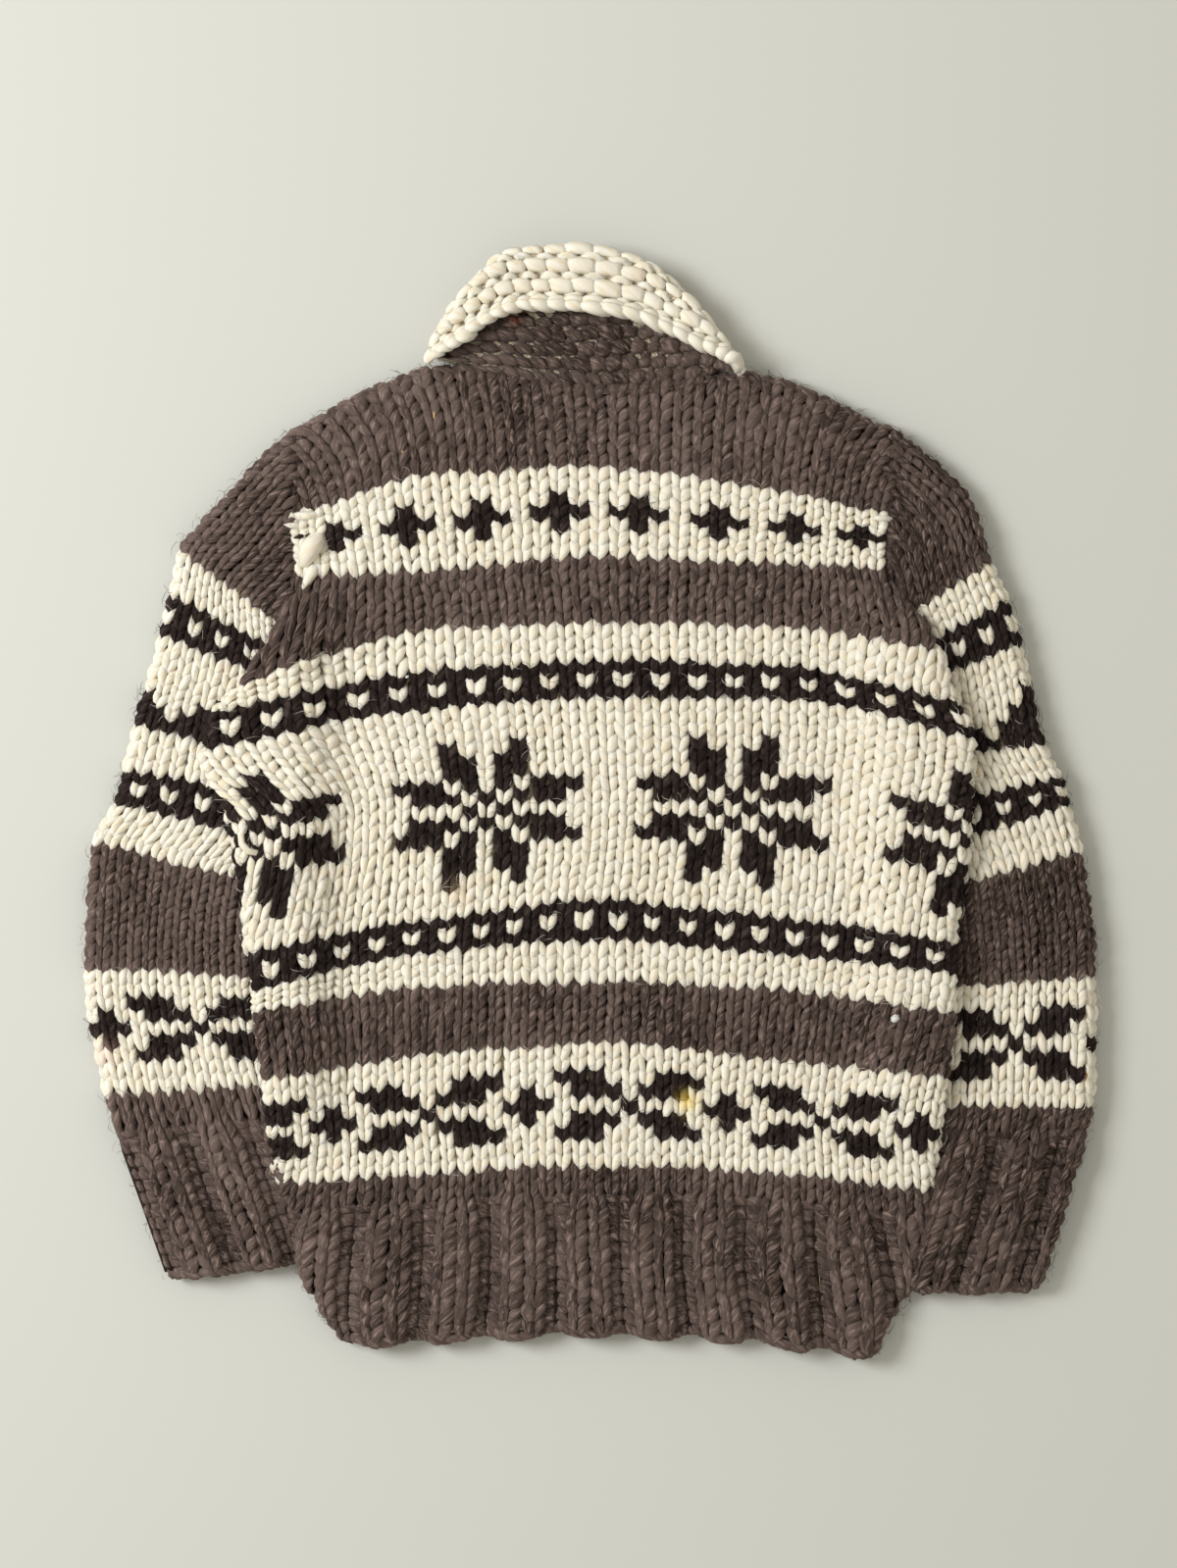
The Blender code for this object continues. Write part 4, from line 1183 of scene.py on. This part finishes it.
class SWEATER_OT_back(Operator):
    """Knit the back, from the shoulders to the ribbed hem"""

    bl_idname = "sweater.back"
    bl_label = "Back"

    def execute(self, context):
        cloth = Cloth(body_points, (-25, 25), (-1, HEM_ROW + 2))
        wale, row = every_stitch(np.arange(-24, 25), np.arange(-1, HEM_ROW) + 0.5)
        _, from_left, from_right, folded, left_x, right_x = spread_of(wale, row)
        limit = -2.5 * MM * folded + 0.5 * MM * (1 - folded)
        shown = (from_left > limit) & (from_right > limit)
        x = cloth.at(wale, row, 0 * wale)[:, 0]
        shown &= (row > 0) | (np.abs(x) > NECK_END * ARMHOLE_X + 4 * MM)
        wale, row = wale[shown], row[shown]
        seed = context.scene.sweater_yarn.seed
        yarns = knit(cloth, wale, row, chart_yarns(wale, row, BODY_GROUNDS, BODY_MOTIFS), "body", seed)
        rng = np.random.default_rng(seed + 50)
        ends = np.arange(-16, 18.0, 0.62)
        inside = spread_of(ends, 0 * ends + HEM_ROW)
        ends = ends[(inside[1] > 0) & (inside[2] > 0)]
        yarns["brown"].add(cloth, EDGE, ends, 0 * ends + HEM_ROW + 0.2, rng, 3.2, size=1.0)
        yarns["brown"].add(cloth, EDGE, ends + 0.3, 0 * ends + HEM_ROW + 0.3, rng, 7.5, size=1.0)
        shoulder = np.concatenate([np.arange(-13.3, -6.0, 0.9), np.arange(6.0, 13.2, 0.9)])
        yarns["brown"].add(cloth, EDGE, shoulder, 0 * shoulder - 0.25, rng, 1.6, size=1.12)
        seam_row = np.arange(0.3, ARMHOLE_ROW + 1, 0.75)
        for name in ("left_wale", "right_wale"):
            rows = table(WALE_LINES_MM, WALE_COLUMNS, "row")
            seam = through(seam_row[:, None], rows, table(WALE_LINES_MM, WALE_COLUMNS, name))[:, 0]
            yarns["brown"].add(cloth, BUMP, seam, seam_row, rng, 5.0, turn=math.pi / 2)
        corner = np.array([-7.3, -6.7])
        yarns["brown"].add(cloth, EDGE, corner, 0 * corner - 0.8, rng, 6.5)
        add_odd_stitches(cloth, yarns, rng)
        pieces = finish_pieces("back", yarns) + caught_bits("back", cloth, rng)
        back = shell("back", 2, body_ground)
        return {"FINISHED"}


def spread_of(wale, row):
    """body_spread for a plain list of stitches, each on a line of its own."""
    parts = body_spread(wale[:, None], row[:, None])
    return [p[:, 0] for p in parts]


class SWEATER_OT_fronts(Operator):
    """Knit the two hidden fronts, which meet edge to edge"""

    bl_idname = "sweater.fronts"
    bl_label = "Fronts"

    def execute(self, context):
        def points(wale, row):
            return body_points(wale, row, False)

        cloth = Cloth(points, (-25, 25), (-1, HEM_ROW + 1), facing=-1)
        every_wale, every_row = every_stitch(np.arange(-24, 25), np.arange(HEM_ROW) + 0.5)
        _, from_left, from_right, folded, left_x, right_x = spread_of(every_wale, every_row)
        limit = 2 * MM * folded + 3 * MM * (1 - folded)
        shown = (from_left > limit) & (from_right > limit)
        wale, row = every_wale[shown], every_row[shown]
        x = cloth.at(wale, row, 0 * wale)[:, 0] - (left_x + right_x)[shown] / 2
        for side, sign in (("left", -1), ("right", 1)):
            half = sign * x > CENTRE_GAP + 4.5 * MM
            here = (wale[half], row[half])
            yarn = chart_yarns(*here, BODY_GROUNDS, BODY_MOTIFS)
            yarns = knit(cloth, *here, yarn, "body", context.scene.sweater_yarn.seed + 10 + sign, hidden=True)
            pieces = finish_pieces("front_" + side, yarns)
            front = shell("front_" + side, 1, body_ground)
        return {"FINISHED"}


class SWEATER_OT_sleeves(Operator):
    """Knit both sleeves, flattened tubes whose inner edges lie under the body"""

    bl_idname = "sweater.sleeves"
    bl_label = "Sleeves"

    def execute(self, context):
        for side, sign in (("left", 1), ("right", -1)):
            seed = context.scene.sweater_yarn.seed + (100 if side == "left" else 200)
            wales = (-2.5, 16) if sign > 0 else (-16, 2.5)
            pieces = []
            # painted light and shade: the left sleeve's yarn is made lighter, the right sleeve's darker
            painted_light = SLEEVE_PAINTED_LIGHT[side]
            yarns = {name: Yarn(painted_light) for name in YARNS}
            for is_top in (True, False):
                def points(wale, row, side=side, is_top=is_top):
                    return sleeve_points(wale, row, side, is_top)

                cloth = Cloth(points, wales, (SLEEVE_TOP_ROW, CUFF_ROW + 2), facing=1 if is_top else -1)
                count = np.arange(0, 15) + 0.5
                wale, row = every_stitch(sign * count, np.arange(SLEEVE_TOP_ROW, CUFF_ROW) + 0.5)
                arc, rest, *_ = sleeve_arcs(wale[:, None], row[:, None], side)
                place = cloth.at(wale, row, 0 * wale)
                edge = body_edge_x(place[:, 1], side)
                tucked = sign * (place[:, 0] - edge)
                hidden_from = np.where(place[:, 1] > 0.05, 3 * MM, 14 * MM)
                shown = (rest[:, 0] > 0.5 * MM) & (tucked < hidden_from if is_top else tucked < 0.2)
                wale, row = wale[shown], row[shown]
                half = np.floor(np.abs(wale)) * sign - (sign < 0)
                yarn = chart_yarns(half, row, SLEEVE_GROUNDS, SLEEVE_MOTIFS[side])
                made = knit(cloth, wale, row, yarn, side, seed + is_top, hidden=not is_top, painted_light=painted_light)
                for name in YARNS:
                    yarns[name].parts += made[name].parts
                rng = np.random.default_rng(seed + 7)
                ends = sign * np.arange(0.4, 9.6, 0.7)
                depth = 3.0 if is_top else HIDDEN_DEPTH
                yarns["brown"].add(cloth, EDGE, ends, 0 * ends + CUFF_ROW + 0.2, rng, depth, size=0.95)
                if is_top:
                    pieces += caught_bits("sleeve_" + side, cloth, rng)
                    yarns["brown"].add(cloth, EDGE, ends + 0.3, 0 * ends + CUFF_ROW + 0.3, rng, 7.5, size=0.95)
            pieces += finish_pieces("sleeve_" + side, yarns)
            tube = shell("sleeve_" + side, 2, sleeve_ground(side))
        return {"FINISHED"}


class SWEATER_OT_collar(Operator):
    """Knit the collar: brown garter stand, cream garter part turned over it, bound off with a chain"""

    bl_idname = "sweater.collar"
    bl_label = "Collar"

    def execute(self, context):
        rng = np.random.default_rng(context.scene.sweater_yarn.seed + 300)
        yarns = {name: Yarn() for name in YARNS}
        pitch = (14.8, RIDGE_MM)
        stand = Cloth(stand_points, (-1, COLLAR_WALES + 1), (-6, 1))
        wale, row = every_stitch(np.arange(0.3, COLLAR_WALES, 1.0), 0.75 - np.arange(0.0, 6.2, 1.0))
        wale = wale + 0.5 * (np.round(row) % 2)
        edge_x, edge_y = collar_line(wale, "edge_x"), collar_line(wale, "edge_y")
        place = stand.at(wale, row, 0 * wale)
        shown = (place[:, 1] < edge_y + 7 * MM) & ((wale > 0.9) | (row > -1.9)) & (wale < COLLAR_WALES + 0.4)
        wale, row = wale[shown], row[shown]
        yarns["brown"].add(stand, RIDGE, wale, row, rng, 2.6, size=1.0, loose=1.6, pitch=pitch)
        add_hairs(yarns["brown"], stand, wale, row, rng, 4)
        yarns["brown"].add(stand, BETWEEN, wale + 0.5, row + 0.5, rng, 3.4, size=1.0, loose=1.6, pitch=pitch)
        turned = Cloth(turned_points, (-1, COLLAR_WALES + 1), (-8, 1))
        wale, row = every_stitch(np.arange(0.0, COLLAR_WALES + 0.1, 1.0), -TURNED_ROWS)
        length = np.hypot(collar_line(wale, "edge_x") - collar_line(wale, "fold_x"),
                          collar_line(wale, "edge_y") - collar_line(wale, "fold_y"))
        arc = length + QUARTER_EXTRA * COLLAR_RADIUS + row * RIDGE_MM * MM
        shown = arc > -7 * MM
        wale, row = wale[shown], row[shown]
        yarns["cream"].add(turned, RIDGE, wale, row, rng, 2.6, loose=0.9, pitch=pitch)
        yarns["cream"].add(turned, ARCH, wale + 0.5, row - 0.58, rng, 3.0, loose=1.1, pitch=pitch)
        yarns["cream"].add(turned, ARCH, wale + 0.5, row + 0.5, rng, 4.4, turn=math.pi, loose=1.1, pitch=pitch)
        chain = np.arange(0.0, COLLAR_WALES + 0.2, 0.86)
        yarns["cream"].add(turned, RIGHT, chain, 0 * chain - 0.66, rng, 2.0, turn=1.35, size=1.4, pitch=pitch)
        yarns["cream"].add(turned, LEFT, chain, 0 * chain - 0.32, rng, 3.4, turn=1.75, size=1.15, pitch=pitch)
        under = Cloth(collar_under_points, (-1, COLLAR_WALES + 1), (-9, 1), facing=-1)
        wale, row = every_stitch(np.arange(0.5, COLLAR_WALES, 1.0), -np.arange(0.6, 7.6, 1.0))
        place = under.at(wale, row, 0 * wale)
        shown = (place[:, 1] < collar_line(wale, "fold_y") - 7 * MM) & (np.abs(place[:, 0]) > 3 * MM)
        shown &= np.abs(wale - COLLAR_WALES / 2) < COLLAR_WALES / 2 - 2
        yarns["cream"].add(under, BUMP, wale[shown], row[shown], rng, 5.2, size=1.1, pitch=pitch)
        pieces = finish_pieces("collar", yarns)
        collar = shell("collar", 2, collar_ground)
        return {"FINISHED"}


class SWEATER_OT_stage(Operator):
    """Lay the plain floor, set the soft light and the camera straight above"""

    bl_idname = "sweater.stage"
    bl_label = "Stage"

    def execute(self, context):
        settings = context.scene.sweater_stage
        material, shader = new_material("floor_paper")
        shader.inputs["Base Color"].default_value = (*settings.floor, 1)
        reach = 6.0
        corners = np.array([(-reach, -reach, 0), (reach, -reach, 0), (reach, reach, 0), (-reach, reach, 0)])
        floor = add_mesh("floor", corners - (0, 0, 0.4 * MM), np.arange(4), np.array([4]), material)
        self.add_light("key", (-2.0, 0.6, 2.0), settings.key_power, 1.15)
        world = bpy.data.worlds.new("soft_room")
        world.use_nodes = True
        world.node_tree.nodes["Background"].inputs["Color"].default_value = (1.0, 0.955, 0.85, 1)
        world.node_tree.nodes["Background"].inputs["Strength"].default_value = settings.fill
        context.scene.world = world
        camera = bpy.data.cameras.new("camera")
        eye = bpy.data.objects.new("camera", camera)
        context.scene.collection.objects.link(eye)
        eye.location = (-1.6 * MM, 9.3 * MM, settings.height)
        camera.sensor_width = 36
        view_height = settings.width * 1599 / 1200
        camera.lens = 36 * (settings.height - 2 * FOLD) / view_height
        camera.clip_start, camera.clip_end = 0.05, 40
        context.scene.camera = eye
        context.scene.view_settings.view_transform = "Standard"
        return {"FINISHED"}

    @staticmethod
    def add_light(name, place, power, size):
        light = bpy.data.lights.new(name, "AREA")
        light.energy, light.size = power, size
        lamp = bpy.data.objects.new(name, light)
        bpy.context.scene.collection.objects.link(lamp)
        lamp.location = place
        direction = -np.array(place)
        lamp.rotation_euler = (
            math.acos(-direction[2] / np.linalg.norm(direction)), 0, math.atan2(direction[1], direction[0]) - math.pi / 2
        )


class SWEATER_PT_panel(Panel):
    """Lists the sweater's settings and pieces"""

    bl_idname = "SWEATER_PT_panel"
    bl_label = "Cowichan Sweater"
    bl_space_type = "VIEW_3D"
    bl_region_type = "UI"
    bl_category = "Sweater"

    def draw(self, context):
        for settings in (context.scene.sweater_yarn, context.scene.sweater_stage):
            box = self.layout.box()
            for name in settings.__annotations__:
                box.prop(settings, name)
        for operator in OPERATORS:
            self.layout.operator(operator.bl_idname)


OPERATORS = (SWEATER_OT_back, SWEATER_OT_fronts, SWEATER_OT_sleeves, SWEATER_OT_collar, SWEATER_OT_stage)
CLASSES = (SweaterYarn, SweaterStage, *OPERATORS, SWEATER_PT_panel)


def register():
    for each in CLASSES:
        bpy.utils.register_class(each)
    bpy.types.Scene.sweater_yarn = PointerProperty(type=SweaterYarn)
    bpy.types.Scene.sweater_stage = PointerProperty(type=SweaterStage)


def unregister():
    del bpy.types.Scene.sweater_stage
    del bpy.types.Scene.sweater_yarn
    for each in reversed(CLASSES):
        bpy.utils.unregister_class(each)


def main():
    register()
    bpy.ops.sweater.back()
    bpy.ops.sweater.fronts()
    bpy.ops.sweater.sleeves()
    bpy.ops.sweater.collar()
    bpy.ops.sweater.stage()


if __name__ == "__main__":
    main()
